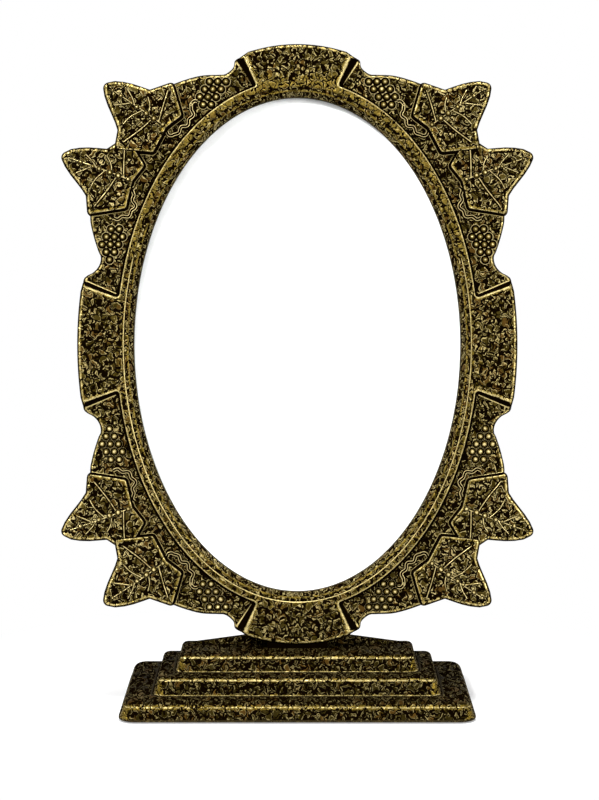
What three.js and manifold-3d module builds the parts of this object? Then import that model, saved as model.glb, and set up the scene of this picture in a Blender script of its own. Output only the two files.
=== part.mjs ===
// Oval cast photo frame that leans back on a three-step base.
//
// Row frame, in millimetres: +X to the viewer's right, +Y to the back, +Z up. The origin is the centre
// of the underside, where the felt rests.
//
// The rim and what it holds are drawn in the rim's own frame, and a group leans them back as one. There
// x is to the right, y is up along the rim, z is towards the front, and the origin is the centre of the
// oval on the rim's back plane. A place on the rim is an angle round the oval, in degrees from the right
// hand side, and a distance outwards from the edge of the sight opening.

import * as THREE from 'three';
import { mergeVertices } from 'three/addons/utils/BufferGeometryUtils.js';
import Module from 'manifold-3d';

const wasm = await Module();
wasm.setup();

// Clearance between two pieces that touch on the real frame
const seatGap = 0.3;

// Sight opening and the lean of the rim
const sightHalfWidth = 49.0;
const sightHalfHeight = 74.1;
const leanDegrees = 7.0;

// Heights above the rim's back plane
const fieldHeight = 4.5;
const ringHeight = 6.5;
const lowerLeafHeight = 6.2;
const upperLeafHeight = 7.0;
const shoulderHeight = 2.3;

// Oval moulding, as distances outwards from the sight edge
const sightDraft = 1.3;
const ringWidth = 5.9;
const ringEdge = 0.4;
const ringDraft = 0.3;
const rebateWidth = 2.5;
const collarWall = 4.0;

// Plain panels
const capPanelReach = 15.9;
const sidePanelReach = 17.0;
const capPanelOuterAngle = 75.9;
const capPanelInnerAngle = 77.4;
const sidePanelOuterAngle = 10.9;
const sidePanelInnerAngle = 9.7;

// Rounded edge of every raised plate: how far its wall stands out, and how deep the rounding goes
const edgeInset = 1.1;
const edgeDrop = 1.3;

// Edge of the recessed field between two panels, as angle and distance, and how far the field stays
// inside the panels' own edges
const fieldEdge = [
  [75.8, 15.9], [74.1, 15.4], [72.9, 15.0], [72.1, 13.5], [70.5, 12.8], [69.1, 12.8], [67.6, 13.6],
  [63.1, 16.4], [57.2, 19.2], [51.7, 21.6], [44.0, 20.6], [36.0, 20.6], [29.0, 20.6], [24.4, 19.4],
  [21.5, 17.1], [18.6, 14.2], [17.7, 13.1], [16.5, 12.8], [15.2, 13.3], [14.1, 14.4], [13.2, 16.0],
  [12.2, 16.8],
];
const fieldTuck = 0.5;

// Vine leaves: the stem's place on the oval, and the way the tip points, from the x axis
const leafStemReach = 11.4;
const upperLeafAngle = 49.4;
const upperLeafTurn = 34.5;
const lowerLeafAngle = 34.9;
const lowerLeafTurn = 20.0;
const leafLength = 21.7;
const leafStemNotch = [0.2, 0];
const leafNearLobe = [[-1.6, 5.4], [5.6, 11.3]];
const leafNearNotch = [9.8, 5.6];
const leafNearBulge = [16.6, 5.2];
const leafTipRound = [0.7, 0.8];
const leafFarBulge = [17.2, -5.4];
const leafFarNotch = [10.7, -8.2];
const leafFarLobe = [[8.4, -13.3], [-0.8, -8.2]];
const midribWidth = 1.2;
const midribHeight = 0.35;
const midribShort = 2.0;

// Grape clusters: where the first row stands, its rows as bead count and sideways shift in beads
const grapeRadius = 1.1;
const grapePitch = 2.45;
const grapeRowPitch = 2.3;
const capCluster = { angle: 66.8, reach: 11.6, rows: [[3, 0], [3, 0.6], [3, 1.2], [2, 1.3]] };
const sideCluster = { angle: 24.0, reach: 10.8, rows: [[2, 0], [3, 0.1], [3, 0.6], [2, 0.6], [1, 0.7]] };

// Glass, card and backing board in the rebate
const glassThickness = 2.0;
const cardThickness = 0.5;
const boardThickness = 1.9;
const cardTrim = 0.3;

// Turn buttons and their screws on the rear collar
const buttonAngles = [0, 55, 125, 180, 235, 305];
const buttonThickness = 1.2;
const buttonHubRadius = 3.2;
const buttonTipRadius = 2.3;
const buttonReach = 9.0;
const buttonStandOff = 0.7;
const bossWall = 0.5;
const buttonScrewRadius = 1.25;
const buttonScrewHeadRadius = 2.5;
const buttonScrewHeadHeight = 1.5;
const buttonScrewGrip = 3.6;

// Lug under the rim, and the two screws that hold it
const lugHalfWidth = 9.0;
const lugThickness = 5.2;
const lugSetBack = 0.4;
const lugDepth = 6.0;
const rimScrewSpacing = 10.0;
const rimScrewRadius = 1.5;
const rimScrewHeadRadius = 2.75;
const rimScrewHeadHeight = 2.2;
const rimScrewGrip = 8.0;
const washerRadius = 3.5;
const washerThickness = 0.6;
const slotWidth = 0.8;
const slotDepth = 0.7;

// Base: foot of the lowest tier, then the step in from each tier to the next
const baseHalfWidth = 51.7;
const baseHalfDepth = 27.25;
const tierHeights = [5.3, 5.1, 4.8];
const sideSteps = [9.4, 6.2];
const frontSteps = [9.3, 7.9];
const backSteps = [8.0, 7.0];
const tierDrafts = [0.8, 1.2, 1.1];
const tierEdgeRadii = [2.6, 1.5, 1.5];
const tierCornerRadii = [5.0, 3.6, 3.2];
const baseWall = 3.0;
const seatBack = 6.0;
const gableRise = 4.5;
const gableInset = 2.0;
const screwWeb = 3.0;
const screwBlockMargin = 3.5;

// Felt pad, let into the underside
const feltThickness = 1.4;
const feltProud = 0.4;
const feltBorder = 3.0;

// How far a cut passes the face that it opens, and how deep joined pieces run into each other
const cutOver = 1.0;

// Facets
const ovalSegments = 76;
const paneSegments = 60;
const curveSegments = 4;
const boreSegments = 12;
const panelSteps = 8;
const edgeSteps = 3;
const grapeSides = 6;

// Places that follow from the sizes
const rimHalfHeight = sightHalfHeight + capPanelReach;
const plateMiddle = (rebateWidth + ringWidth) / 2 + edgeInset;
const glassFront = shoulderHeight - seatGap;
const cardFront = glassFront - glassThickness - seatGap;
const boardFront = cardFront - cardThickness - seatGap;
const collarBack = boardFront - boardThickness;
const buttonFront = collarBack - seatGap;
const buttonBack = buttonFront - buttonThickness;
const collarReach = rebateWidth + collarWall;
const buttonPivotReach = rebateWidth + buttonHubRadius + buttonStandOff;
const tierTops = tierHeights.map((height, tier) =>
  feltProud + tierHeights.slice(0, tier + 1).reduce((sum, one) => sum + one, 0));
const seatHeight = tierTops[2] + seatGap;
const lugBottom = -rimHalfHeight - lugDepth;
const webTop = lugBottom - seatGap;
const webBottom = webTop - screwWeb;
const washerTop = webBottom - seatGap;
const rimScrewHeadTop = washerTop - washerThickness - seatGap;
const lugMiddle = lugSetBack + lugThickness / 2;

// The rim's frame in the row frame
const leanGroup = new THREE.Group();
leanGroup.position.set(0, seatBack, seatHeight);
leanGroup.rotation.x = THREE.MathUtils.degToRad(-leanDegrees);
const rimGroup = new THREE.Group();
rimGroup.position.z = rimHalfHeight;
rimGroup.rotation.x = Math.PI / 2;
leanGroup.add(rimGroup);
leanGroup.updateMatrixWorld(true);

// Finishes
const antiqueBrass = new THREE.MeshStandardMaterial({ color: 0x6b5526, roughness: 0.42, metalness: 0.85 });
const clearGlass = new THREE.MeshStandardMaterial({
  color: 0xf4f8f7,
  roughness: 0.05,
  transparent: true,
  opacity: 0.3,
});
const whiteCard = new THREE.MeshStandardMaterial({ color: 0xffffff, roughness: 0.8 });
const hardboard = new THREE.MeshStandardMaterial({ color: 0x6e4f33, roughness: 0.85 });
const buttonBrass = new THREE.MeshStandardMaterial({ color: 0x9a7a36, roughness: 0.35, metalness: 1 });
const screwSteel = new THREE.MeshStandardMaterial({ color: 0x8a8578, roughness: 0.35, metalness: 1 });
const darkFelt = new THREE.MeshStandardMaterial({ color: 0x1f2a22, roughness: 0.98 });

// Solids

function toSolid(geometry) {
  const bare = geometry.clone();
  bare.deleteAttribute('normal');
  bare.deleteAttribute('uv');
  const merged = mergeVertices(bare, 1e-4);
  return new wasm.Manifold(new wasm.Mesh({
    numProp: 3,
    vertProperties: new Float32Array(merged.attributes.position.array),
    triVerts: new Uint32Array(merged.index.array),
  }));
}

function toGeometry(solid) {
  const mesh = solid.getMesh();
  const geometry = new THREE.BufferGeometry();
  geometry.setAttribute('position', new THREE.BufferAttribute(mesh.vertProperties, 3));
  geometry.setIndex(new THREE.BufferAttribute(mesh.triVerts, 1));
  geometry.computeVertexNormals();
  return geometry;
}

function joined(geometries) {
  return geometries.map(toSolid).reduce((whole, piece) => whole.add(piece));
}

function cutAll(solid, geometries) {
  return geometries.map(toSolid).reduce((whole, piece) => whole.subtract(piece), solid);
}

// Rings of equal point count, stacked from the bottom up and closed at both ends
function stackedRings(rings) {
  const count = rings[0].length;
  const positions = rings.flat().flatMap((point) => [point.x, point.y, point.z]);
  const faces = [];
  for (let ring = 0; ring < rings.length - 1; ring += 1) {
    for (let i = 0; i < count; i += 1) {
      const a = ring * count + i;
      const b = ring * count + (i + 1) % count;
      faces.push(a, b, b + count, a, b + count, a + count);
    }
  }
  const top = (rings.length - 1) * count;
  for (let i = 1; i < count - 1; i += 1) {
    faces.push(0, i + 1, i);
    faces.push(top, top + i, top + i + 1);
  }
  const geometry = new THREE.BufferGeometry();
  geometry.setAttribute('position', new THREE.Float32BufferAttribute(positions, 3));
  geometry.setIndex(faces);
  return geometry;
}

// Rounded rectangle at height z, anticlockwise from above
function roundedRing(halfWidth, front, back, radius, z) {
  const corners = [
    [halfWidth - radius, front + radius, -90],
    [halfWidth - radius, back - radius, 0],
    [-halfWidth + radius, back - radius, 90],
    [-halfWidth + radius, front + radius, 180],
  ];
  const ring = [];
  for (const [x, y, start] of corners) {
    for (let step = 0; step <= curveSegments; step += 1) {
      const angle = THREE.MathUtils.degToRad(start + 90 * step / curveSegments);
      ring.push(new THREE.Vector3(x + radius * Math.cos(angle), y + radius * Math.sin(angle), z));
    }
  }
  return ring;
}

function block(minX, minY, minZ, maxX, maxY, maxZ) {
  const geometry = new THREE.BoxGeometry(maxX - minX, maxY - minY, maxZ - minZ);
  return geometry.translate((minX + maxX) / 2, (minY + maxY) / 2, (minZ + maxZ) / 2);
}

// Round bar along the rim's z axis
function barAlongZ(x, y, radius, minZ, maxZ, segments) {
  const geometry = new THREE.CylinderGeometry(radius, radius, maxZ - minZ, segments);
  return geometry.rotateX(Math.PI / 2).translate(x, y, (minZ + maxZ) / 2);
}

// Round bar along the rim's y axis
function barAlongY(x, z, radius, minY, maxY, segments) {
  const geometry = new THREE.CylinderGeometry(radius, radius, maxY - minY, segments);
  return geometry.translate(x, (minY + maxY) / 2, z);
}

// Places round the oval

function ovalPoint(angle, reach) {
  const radians = THREE.MathUtils.degToRad(angle);
  return new THREE.Vector2(
    (sightHalfWidth + reach) * Math.cos(radians),
    (sightHalfHeight + reach) * Math.sin(radians),
  );
}

// Way straight outwards from the oval, in radians from the x axis
function outwardTurn(angle, reach) {
  const point = ovalPoint(angle, reach);
  return Math.atan2(point.y / (sightHalfHeight + reach) ** 2, point.x / (sightHalfWidth + reach) ** 2);
}

function ovalOutline(reach, segments) {
  return Array.from({ length: segments }, (_, i) => ovalPoint(360 * i / segments, reach));
}

function arcPoints(fromAngle, toAngle, reach, steps) {
  return Array.from({ length: steps + 1 }, (_, i) =>
    ovalPoint(fromAngle + (toAngle - fromAngle) * i / steps, reach));
}

// Closed outline from the points of the upper right quarter, top to side
function fourfold(quarter) {
  const flipped = (signX, signY) =>
    quarter.map((point) => new THREE.Vector2(signX * point.x, signY * point.y));
  const loop = [
    ...flipped(1, 1),
    ...flipped(1, -1).reverse(),
    ...flipped(-1, -1),
    ...flipped(-1, 1).reverse(),
  ];
  return loop.filter((point, i) => point.distanceTo(loop[(i + 1) % loop.length]) > 0.01);
}

// Plate of an outline up to a height, with the edge of its face rounded. The outline is the flat
// face's, and the wall stands out from it. The plate starts behind the rim's back plane, where it is
// cut off with its other rounded edge.
function roundedPlate(shape, top) {
  return new THREE.ExtrudeGeometry(shape, {
    depth: top - edgeDrop,
    bevelThickness: edgeDrop,
    bevelSize: edgeInset,
    bevelSegments: 2,
    curveSegments,
  });
}

// Straight-walled plate of an outline, standing on z = 0
function flatPlate(shape, thickness) {
  return new THREE.ExtrudeGeometry(shape, {
    depth: thickness,
    bevelEnabled: false,
    curveSegments: boreSegments / 2,
  });
}

// Rim casting

// Oval moulding with the rebate behind it and the rear collar, as one closed section
function ovalMoulding() {
  const section = [
    [rebateWidth, collarBack],
    [rebateWidth, shoulderHeight],
    [0, shoulderHeight],
    [sightDraft, ringHeight - ringEdge],
    [sightDraft + ringEdge, ringHeight],
    [ringWidth - ringDraft - ringEdge, ringHeight],
    [ringWidth - ringDraft, ringHeight - ringEdge],
    [ringWidth, fieldHeight - ringEdge],
    [collarReach, 0],
    [collarReach, collarBack],
  ];
  const positions = [];
  const faces = [];
  for (let i = 0; i < ovalSegments; i += 1) {
    for (let j = 0; j < section.length; j += 1) {
      const [reach, height] = section[j];
      const point = ovalPoint(360 * i / ovalSegments, reach);
      positions.push(point.x, point.y, height);
      const a = i * section.length + j;
      const b = i * section.length + (j + 1) % section.length;
      const c = ((i + 1) % ovalSegments) * section.length + (j + 1) % section.length;
      const d = ((i + 1) % ovalSegments) * section.length + j;
      faces.push(a, b, c, a, c, d);
    }
  }
  const geometry = new THREE.BufferGeometry();
  geometry.setAttribute('position', new THREE.Float32BufferAttribute(positions, 3));
  geometry.setIndex(faces);
  return geometry;
}

// Recessed field of all four quarters, with the open middle inside the moulding's section
function fieldPlate() {
  const edge = fieldEdge.map(([angle, reach]) => ovalPoint(angle, reach - edgeInset));
  const tuck = edgeInset + fieldTuck;
  const shape = new THREE.Shape(fourfold([
    ...arcPoints(90, capPanelOuterAngle + fieldTuck, capPanelReach - tuck, edgeSteps),
    ...edge,
    ...arcPoints(sidePanelOuterAngle + fieldTuck, 0, sidePanelReach - tuck, edgeSteps),
  ]));
  shape.holes.push(new THREE.Path(ovalOutline(plateMiddle, ovalSegments)));
  return roundedPlate(shape, fieldHeight);
}

// Plain panel centred on one axis of the oval: at the top and bottom, or at the two sides
function panel(centreAngle, outerHalf, innerHalf, reach) {
  const shape = new THREE.Shape([
    ...arcPoints(centreAngle - outerHalf, centreAngle + outerHalf, reach - edgeInset, panelSteps),
    ...arcPoints(centreAngle + innerHalf, centreAngle - innerHalf, plateMiddle, panelSteps),
  ]);
  return roundedPlate(shape, ringHeight);
}

function allPanels() {
  const capOuter = 90 - capPanelOuterAngle;
  const capInner = 90 - capPanelInnerAngle;
  return [
    panel(90, capOuter, capInner, capPanelReach),
    panel(270, capOuter, capInner, capPanelReach),
    panel(0, sidePanelOuterAngle, sidePanelInnerAngle, sidePanelReach),
    panel(180, sidePanelOuterAngle, sidePanelInnerAngle, sidePanelReach),
  ];
}

// Vine leaf with its stem at the origin and its tip along +x
function leafShape() {
  const [tipDepth, tipHalf] = leafTipRound;
  const shape = new THREE.Shape();
  shape.moveTo(...leafStemNotch);
  leafNearLobe.forEach((corner) => shape.lineTo(...corner));
  shape.lineTo(...leafNearNotch);
  shape.quadraticCurveTo(...leafNearBulge, leafLength - tipDepth, tipHalf);
  shape.quadraticCurveTo(leafLength, 0, leafLength - tipDepth, -tipHalf);
  shape.quadraticCurveTo(...leafFarBulge, ...leafFarNotch);
  leafFarLobe.forEach((corner) => shape.lineTo(...corner));
  return shape;
}

// Leaf with its raised midrib, in the upper right quarter
function leaf(stemAngle, turn, height) {
  const blade = roundedPlate(leafShape(), height);
  const midribLength = leafLength - midribShort;
  const midrib = new THREE.ConeGeometry(midribWidth / 2, midribLength, 4);
  midrib.scale(1, 1, 2 * midribHeight / midribWidth).rotateZ(-Math.PI / 2);
  midrib.translate(midribLength / 2, 0, height);
  const stem = ovalPoint(stemAngle, leafStemReach);
  return [blade, midrib].map((piece) =>
    piece.rotateZ(THREE.MathUtils.degToRad(turn)).translate(stem.x, stem.y, 0));
}

// Cluster of grapes as domes on the field, with its rows running down from the first
function grapeCluster({ angle, reach, rows }) {
  const start = ovalPoint(angle, reach);
  const grapes = [];
  rows.forEach(([count, shift], row) => {
    for (let bead = 0; bead < count; bead += 1) {
      const across = (bead - (count - 1) / 2 + shift) * grapePitch;
      const grape = new THREE.SphereGeometry(grapeRadius, grapeSides, 4).rotateX(Math.PI / 2);
      grapes.push(grape.translate(start.x + across, start.y - row * grapeRowPitch, fieldHeight));
    }
  });
  return grapes;
}

// One copy in each quarter of the rim
function mirroredCopies(geometry) {
  return [[1, 1], [-1, 1], [1, -1], [-1, -1]].map(([signX, signY]) => {
    const copy = geometry.clone().applyMatrix4(new THREE.Matrix4().makeScale(signX, signY, 1));
    if (signX * signY < 0) {
      turnInsideOut(copy);
    }
    return copy;
  });
}

function turnInsideOut(geometry) {
  if (!geometry.index) {
    geometry.setIndex(Array.from({ length: geometry.attributes.position.count }, (_, i) => i));
  }
  const index = geometry.index;
  for (let i = 0; i < index.count; i += 3) {
    const first = index.getX(i);
    index.setX(i, index.getX(i + 1));
    index.setX(i + 1, first);
  }
}

function buttonPlaces() {
  return buttonAngles.map((angle) => ({
    point: ovalPoint(angle, buttonPivotReach),
    turn: outwardTurn(angle, buttonPivotReach) + Math.PI,
  }));
}

function screwBosses() {
  const radius = buttonHubRadius + bossWall;
  return buttonPlaces().map(({ point }) =>
    barAlongZ(point.x, point.y, radius, collarBack, fieldHeight / 2, boreSegments));
}

function buttonScrewHoles() {
  const radius = buttonScrewRadius + seatGap;
  const depth = collarBack + buttonScrewGrip + seatGap;
  return buttonPlaces().map(({ point }) =>
    barAlongZ(point.x, point.y, radius, collarBack - cutOver, depth, boreSegments));
}

// Lug that goes down into the base, from inside the rim's foot
function rimLug() {
  const root = -rimHalfHeight + capPanelReach - ringWidth;
  return block(-lugHalfWidth, lugBottom, lugSetBack, lugHalfWidth, root, lugSetBack + lugThickness);
}

function rimScrewPlaces() {
  return [-rimScrewSpacing / 2, rimScrewSpacing / 2];
}

function rimScrewHoles(bottom, top) {
  const radius = rimScrewRadius + seatGap;
  return rimScrewPlaces().map((x) => barAlongY(x, lugMiddle, radius, bottom, top, boreSegments));
}

function rimCasting() {
  const quarterRelief = [
    ...leaf(lowerLeafAngle, lowerLeafTurn, lowerLeafHeight),
    ...leaf(upperLeafAngle, upperLeafTurn, upperLeafHeight),
    ...grapeCluster(capCluster),
    ...grapeCluster(sideCluster),
  ];
  const reach = rimHalfHeight + leafLength;
  const behindBack = block(-reach, -reach, -2 * edgeDrop, reach, reach, 0);
  const relief = cutAll(joined([
    fieldPlate(),
    ...allPanels(),
    ...quarterRelief.flatMap(mirroredCopies),
  ]), [behindBack]);
  const whole = relief.add(joined([ovalMoulding(), ...screwBosses(), rimLug()]));
  return toGeometry(cutAll(whole, [
    ...buttonScrewHoles(),
    ...rimScrewHoles(lugBottom - cutOver, lugBottom + rimScrewGrip + seatGap),
  ]));
}

// Glass, card and board

function ovalPane(reach, front, thickness) {
  const shape = new THREE.Shape(ovalOutline(reach, paneSegments));
  return flatPlate(shape, thickness).translate(0, 0, front - thickness);
}

// Turn button with its pivot at the origin and its tip along +x
function turnButton() {
  const spread = buttonReach - buttonTipRadius;
  const tangent = Math.acos((buttonHubRadius - buttonTipRadius) / spread);
  const shape = new THREE.Shape();
  shape.absarc(0, 0, buttonHubRadius, tangent, 2 * Math.PI - tangent, false);
  shape.absarc(spread, 0, buttonTipRadius, -tangent, tangent, false);
  const hole = new THREE.Path();
  hole.absarc(0, 0, buttonScrewRadius + seatGap, 0, 2 * Math.PI, true);
  shape.holes.push(hole);
  return flatPlate(shape, buttonThickness);
}

// Slotted screw, its head's outer face at y = 0 and its point upwards
function slottedScrew(headRadius, headHeight, shankRadius, length) {
  const edge = headHeight / edgeSteps;
  const profile = [
    new THREE.Vector2(0, 0),
    new THREE.Vector2(headRadius - edge, 0),
    new THREE.Vector2(headRadius, edge),
    new THREE.Vector2(headRadius, headHeight),
    new THREE.Vector2(shankRadius, headHeight),
    new THREE.Vector2(shankRadius, headHeight + length - shankRadius / 2),
    new THREE.Vector2(shankRadius / 2, headHeight + length),
    new THREE.Vector2(0, headHeight + length),
  ];
  const body = toSolid(new THREE.LatheGeometry(profile, boreSegments));
  const slotReach = headRadius + cutOver;
  const slot = block(-slotReach, -cutOver, -slotWidth / 2, slotReach, slotDepth, slotWidth / 2);
  return toGeometry(cutAll(body, [slot]));
}

function washer() {
  const shape = new THREE.Shape();
  shape.absarc(0, 0, washerRadius, 0, 2 * Math.PI, false);
  const hole = new THREE.Path();
  hole.absarc(0, 0, rimScrewRadius + seatGap, 0, 2 * Math.PI, true);
  shape.holes.push(hole);
  return flatPlate(shape, washerThickness).rotateX(-Math.PI / 2);
}

// Base casting

function tierFoot(tier) {
  const sum = (steps) => steps.slice(0, tier).reduce((total, step) => total + step, 0);
  return {
    halfWidth: baseHalfWidth - sum(sideSteps),
    front: -baseHalfDepth + sum(frontSteps),
    back: baseHalfDepth - sum(backSteps),
    bottom: tier === 0 ? feltProud : tierTops[tier - 1] - cutOver,
  };
}

// Tier with drafted walls, rounded corners and a rounded top edge
function tierSolid(tier) {
  const { halfWidth, front, back, bottom } = tierFoot(tier);
  const top = tierTops[tier];
  const draft = tierDrafts[tier];
  const edge = tierEdgeRadii[tier];
  const corner = tierCornerRadii[tier];
  const ringAt = (inset, z) =>
    roundedRing(halfWidth - inset, front + inset, back - inset, Math.max(corner - inset, edge / 4), z);
  const rings = [ringAt(0, bottom)];
  for (let step = 0; step <= edgeSteps; step += 1) {
    const angle = step / edgeSteps * Math.PI / 2;
    rings.push(ringAt(draft + edge * (1 - Math.cos(angle)), top - edge + edge * Math.sin(angle)));
  }
  return stackedRings(rings);
}

// Low gabled rest that the rim's back leans on
function gable() {
  const { halfWidth, back } = tierFoot(2);
  const edge = tierDrafts[2] + tierEdgeRadii[2];
  const half = halfWidth - gableInset - tierDrafts[2];
  const top = tierTops[2];
  const profile = new THREE.Shape([
    new THREE.Vector2(-half, top),
    new THREE.Vector2(-half, top - cutOver),
    new THREE.Vector2(half, top - cutOver),
    new THREE.Vector2(half, top),
    new THREE.Vector2(0, top + gableRise),
  ]);
  const length = back - edge - seatBack + fieldHeight;
  const ridge = new THREE.ExtrudeGeometry(profile, { depth: length, bevelEnabled: false });
  return ridge.rotateX(Math.PI / 2).translate(0, back - edge, 0);
}

// Cast hollow under a tier, one wall in from its sides
function hollow(tier, ceiling) {
  const { halfWidth, front, back } = tierFoot(tier);
  const inset = tierDrafts[tier] + baseWall;
  const corner = tierCornerRadii[tier];
  const ringAt = (z) => roundedRing(halfWidth - inset, front + inset, back - inset, corner, z);
  return stackedRings([ringAt(feltProud - cutOver), ringAt(ceiling)]);
}

// Outline of the felt and its recess, in from the base's foot
function feltRing(inset, z) {
  return roundedRing(
    baseHalfWidth - inset,
    -baseHalfDepth + inset,
    baseHalfDepth - inset,
    tierCornerRadii[0] - inset / 2,
    z,
  );
}

// Solid block under the seat that takes the two screws
function screwBlock() {
  const { back } = tierFoot(2);
  const front = seatBack - lugSetBack - lugThickness - screwBlockMargin;
  const width = rimScrewSpacing / 2 + washerRadius + screwBlockMargin;
  const bottom = seatHeight + webBottom + rimHalfHeight - cutOver;
  return block(-width, front, bottom, width, back - tierDrafts[2] - cutOver, tierTops[2] - cutOver);
}

// Shape drawn in the rim's frame, moved to the row frame
function leaned(geometry) {
  return geometry.applyMatrix4(rimGroup.matrixWorld);
}

function baseCasting() {
  const hollows = joined([
    hollow(1, tierTops[1] - baseWall),
    hollow(2, tierTops[2] - baseWall),
    stackedRings([
      feltRing(feltBorder, feltProud - cutOver),
      feltRing(feltBorder, feltThickness + seatGap),
    ]),
  ]);
  const behindRim = leaned(block(
    -baseHalfWidth, -rimHalfHeight - 2 * gableRise, -seatGap, baseHalfWidth, 0, 2 * fieldHeight,
  ));
  const backRest = cutAll(toSolid(gable()), [behindRim]);
  const tiers = joined([0, 1, 2].map(tierSolid)).add(backRest);
  const pocket = leaned(block(
    -lugHalfWidth - seatGap, webTop, lugSetBack - seatGap,
    lugHalfWidth + seatGap, -rimHalfHeight + gableRise, lugSetBack + lugThickness + seatGap,
  ));
  const washerSeats = rimScrewPlaces().map((x) =>
    barAlongY(x, lugMiddle, washerRadius + seatGap, webBottom - seatHeight, webBottom, boreSegments));
  const holes = rimScrewHoles(webBottom - cutOver, webTop + cutOver);
  const body = tiers.subtract(hollows).add(toSolid(screwBlock()));
  return toGeometry(cutAll(body, [pocket, ...washerSeats.map(leaned), ...holes.map(leaned)]));
}

function feltPad() {
  const border = feltBorder + seatGap;
  return stackedRings([feltRing(border, 0), feltRing(border, feltThickness)]);
}

// Assembly

const group = new THREE.Group();
group.add(leanGroup);

function addMesh(parent, name, geometry, material) {
  const mesh = new THREE.Mesh(geometry, material);
  mesh.name = name;
  parent.add(mesh);
  return mesh;
}

addMesh(rimGroup, 'rim_casting', rimCasting(), antiqueBrass);
addMesh(group, 'base_casting', baseCasting(), antiqueBrass);
addMesh(group, 'felt_pad', feltPad(), darkFelt);

const paneReach = rebateWidth - seatGap;
addMesh(rimGroup, 'glass_pane', ovalPane(paneReach, glassFront, glassThickness), clearGlass);
addMesh(rimGroup, 'photo_card', ovalPane(paneReach - cardTrim, cardFront, cardThickness), whiteCard);
addMesh(rimGroup, 'backing_board', ovalPane(paneReach, boardFront, boardThickness), hardboard);

buttonPlaces().forEach(({ point, turn }, place) => {
  const button = addMesh(rimGroup, `turn_button_${place + 1}`, turnButton(), buttonBrass);
  button.position.set(point.x, point.y, buttonBack);
  button.rotation.z = turn;
  const length = buttonThickness + 2 * seatGap + buttonScrewGrip;
  const shape = slottedScrew(buttonScrewHeadRadius, buttonScrewHeadHeight, buttonScrewRadius, length);
  const screw = addMesh(rimGroup, `turn_button_screw_${place + 1}`, shape, screwSteel);
  screw.position.set(point.x, point.y, buttonBack - seatGap - buttonScrewHeadHeight);
  screw.rotation.x = Math.PI / 2;
});

rimScrewPlaces().forEach((x, place) => {
  const side = place === 0 ? 'left' : 'right';
  const length = lugBottom + rimScrewGrip - rimScrewHeadTop;
  const shape = slottedScrew(rimScrewHeadRadius, rimScrewHeadHeight, rimScrewRadius, length);
  const screw = addMesh(rimGroup, `rim_screw_${side}`, shape, screwSteel);
  screw.position.set(x, rimScrewHeadTop - rimScrewHeadHeight, lugMiddle);
  const ring = addMesh(rimGroup, `rim_screw_washer_${side}`, washer(), screwSteel);
  ring.position.set(x, washerTop - washerThickness, lugMiddle);
});

export default group;
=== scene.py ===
"""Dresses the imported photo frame: an oval brass casting with vine leaves and grapes on a stepped base.

Sizes are in millimetres and angles in degrees, and a mesh is turned into metres when it is finished. The
rim and what it holds are drawn in the rim's own frame: x to the right, y up along the rim, z towards the
front, with the origin at the centre of the oval on the rim's back plane. A place on the rim is an angle
round the oval from the right hand side and a reach, the distance outwards from the sight opening's edge.
"""

import logging
import math
from collections.abc import Callable, Sequence
from dataclasses import dataclass, field
from enum import Enum

import bmesh
import bpy
from mathutils import Matrix, Vector
from mathutils.geometry import tessellate_polygon


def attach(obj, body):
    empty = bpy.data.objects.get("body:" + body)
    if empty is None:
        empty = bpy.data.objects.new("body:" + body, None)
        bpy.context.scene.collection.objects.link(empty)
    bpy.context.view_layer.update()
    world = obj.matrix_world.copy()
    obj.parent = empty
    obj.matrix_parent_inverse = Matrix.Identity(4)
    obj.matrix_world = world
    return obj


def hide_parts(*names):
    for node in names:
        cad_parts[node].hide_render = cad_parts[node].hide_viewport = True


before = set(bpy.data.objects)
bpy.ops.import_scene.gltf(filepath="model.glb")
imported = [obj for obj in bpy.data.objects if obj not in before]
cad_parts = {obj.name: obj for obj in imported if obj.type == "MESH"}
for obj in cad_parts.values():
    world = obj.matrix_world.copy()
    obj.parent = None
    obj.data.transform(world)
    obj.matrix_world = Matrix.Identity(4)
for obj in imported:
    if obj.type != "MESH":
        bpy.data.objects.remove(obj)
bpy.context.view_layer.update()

MM = 0.001
LOG = logging.getLogger("photo_frame")

Pair = tuple[float, float]
Triple = tuple[float, float, float]
Colour = Triple

# Driving sizes of the oval and of the rim's place on the base
SIGHT_HALF_WIDTH = 49.0
SIGHT_HALF_HEIGHT = 74.1
RIM_HALF_HEIGHT = 90.0
LEAN = 7.0
SEAT_BACK = 6.0
SEAT_HEIGHT = 15.9

# Heights above the rim's back plane
FIELD_HEIGHT = 4.5
RING_HEIGHT = 6.5
COLLAR_BACK = -3.0

BODY = "frame_body"

# Angle between two faces from which their edge stays sharp, on the castings and on the fine relief
SHARP_ANGLE = 38.0
RELIEF_SHARP_ANGLE = 70.0

# Rounded corners: the most of an edge that one takes, its least radius and the bend taken as least
EDGE_SHARE = 0.45
LEAST_RADIUS = 0.2
LEAST_BEND = 0.3

# Two distances that count as none, of a slope and between two points
FLAT = 1e-6
TOUCHING = 1e-4


class Wear(float, Enum):
    """How far the black has been rubbed off the brass, from the deepest recess to a bright line; the same
    scale paints light, with the black levels as painted shade and the bright levels as painted highlights.
    """

    BLACKENED = 0.0
    DUSKY = 0.16
    VEINED = 0.5
    SCUFFED = 0.72
    WORN = 0.86
    RUBBED = 1.0
    BURNISHED = 1.3
    GLINT = 1.6


# Points, outlines and shells


@dataclass(frozen=True)
class Corner:
    """One corner of a closed outline, with the radius that rounds it, or none on a curve."""

    x: float
    y: float
    radius: float = 0.0

    def flipped(self, sign_x: int, sign_y: int) -> "Corner":
        """The corner mirrored across the axes whose sign is minus one."""
        return Corner(self.x * sign_x, self.y * sign_y, self.radius)


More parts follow.
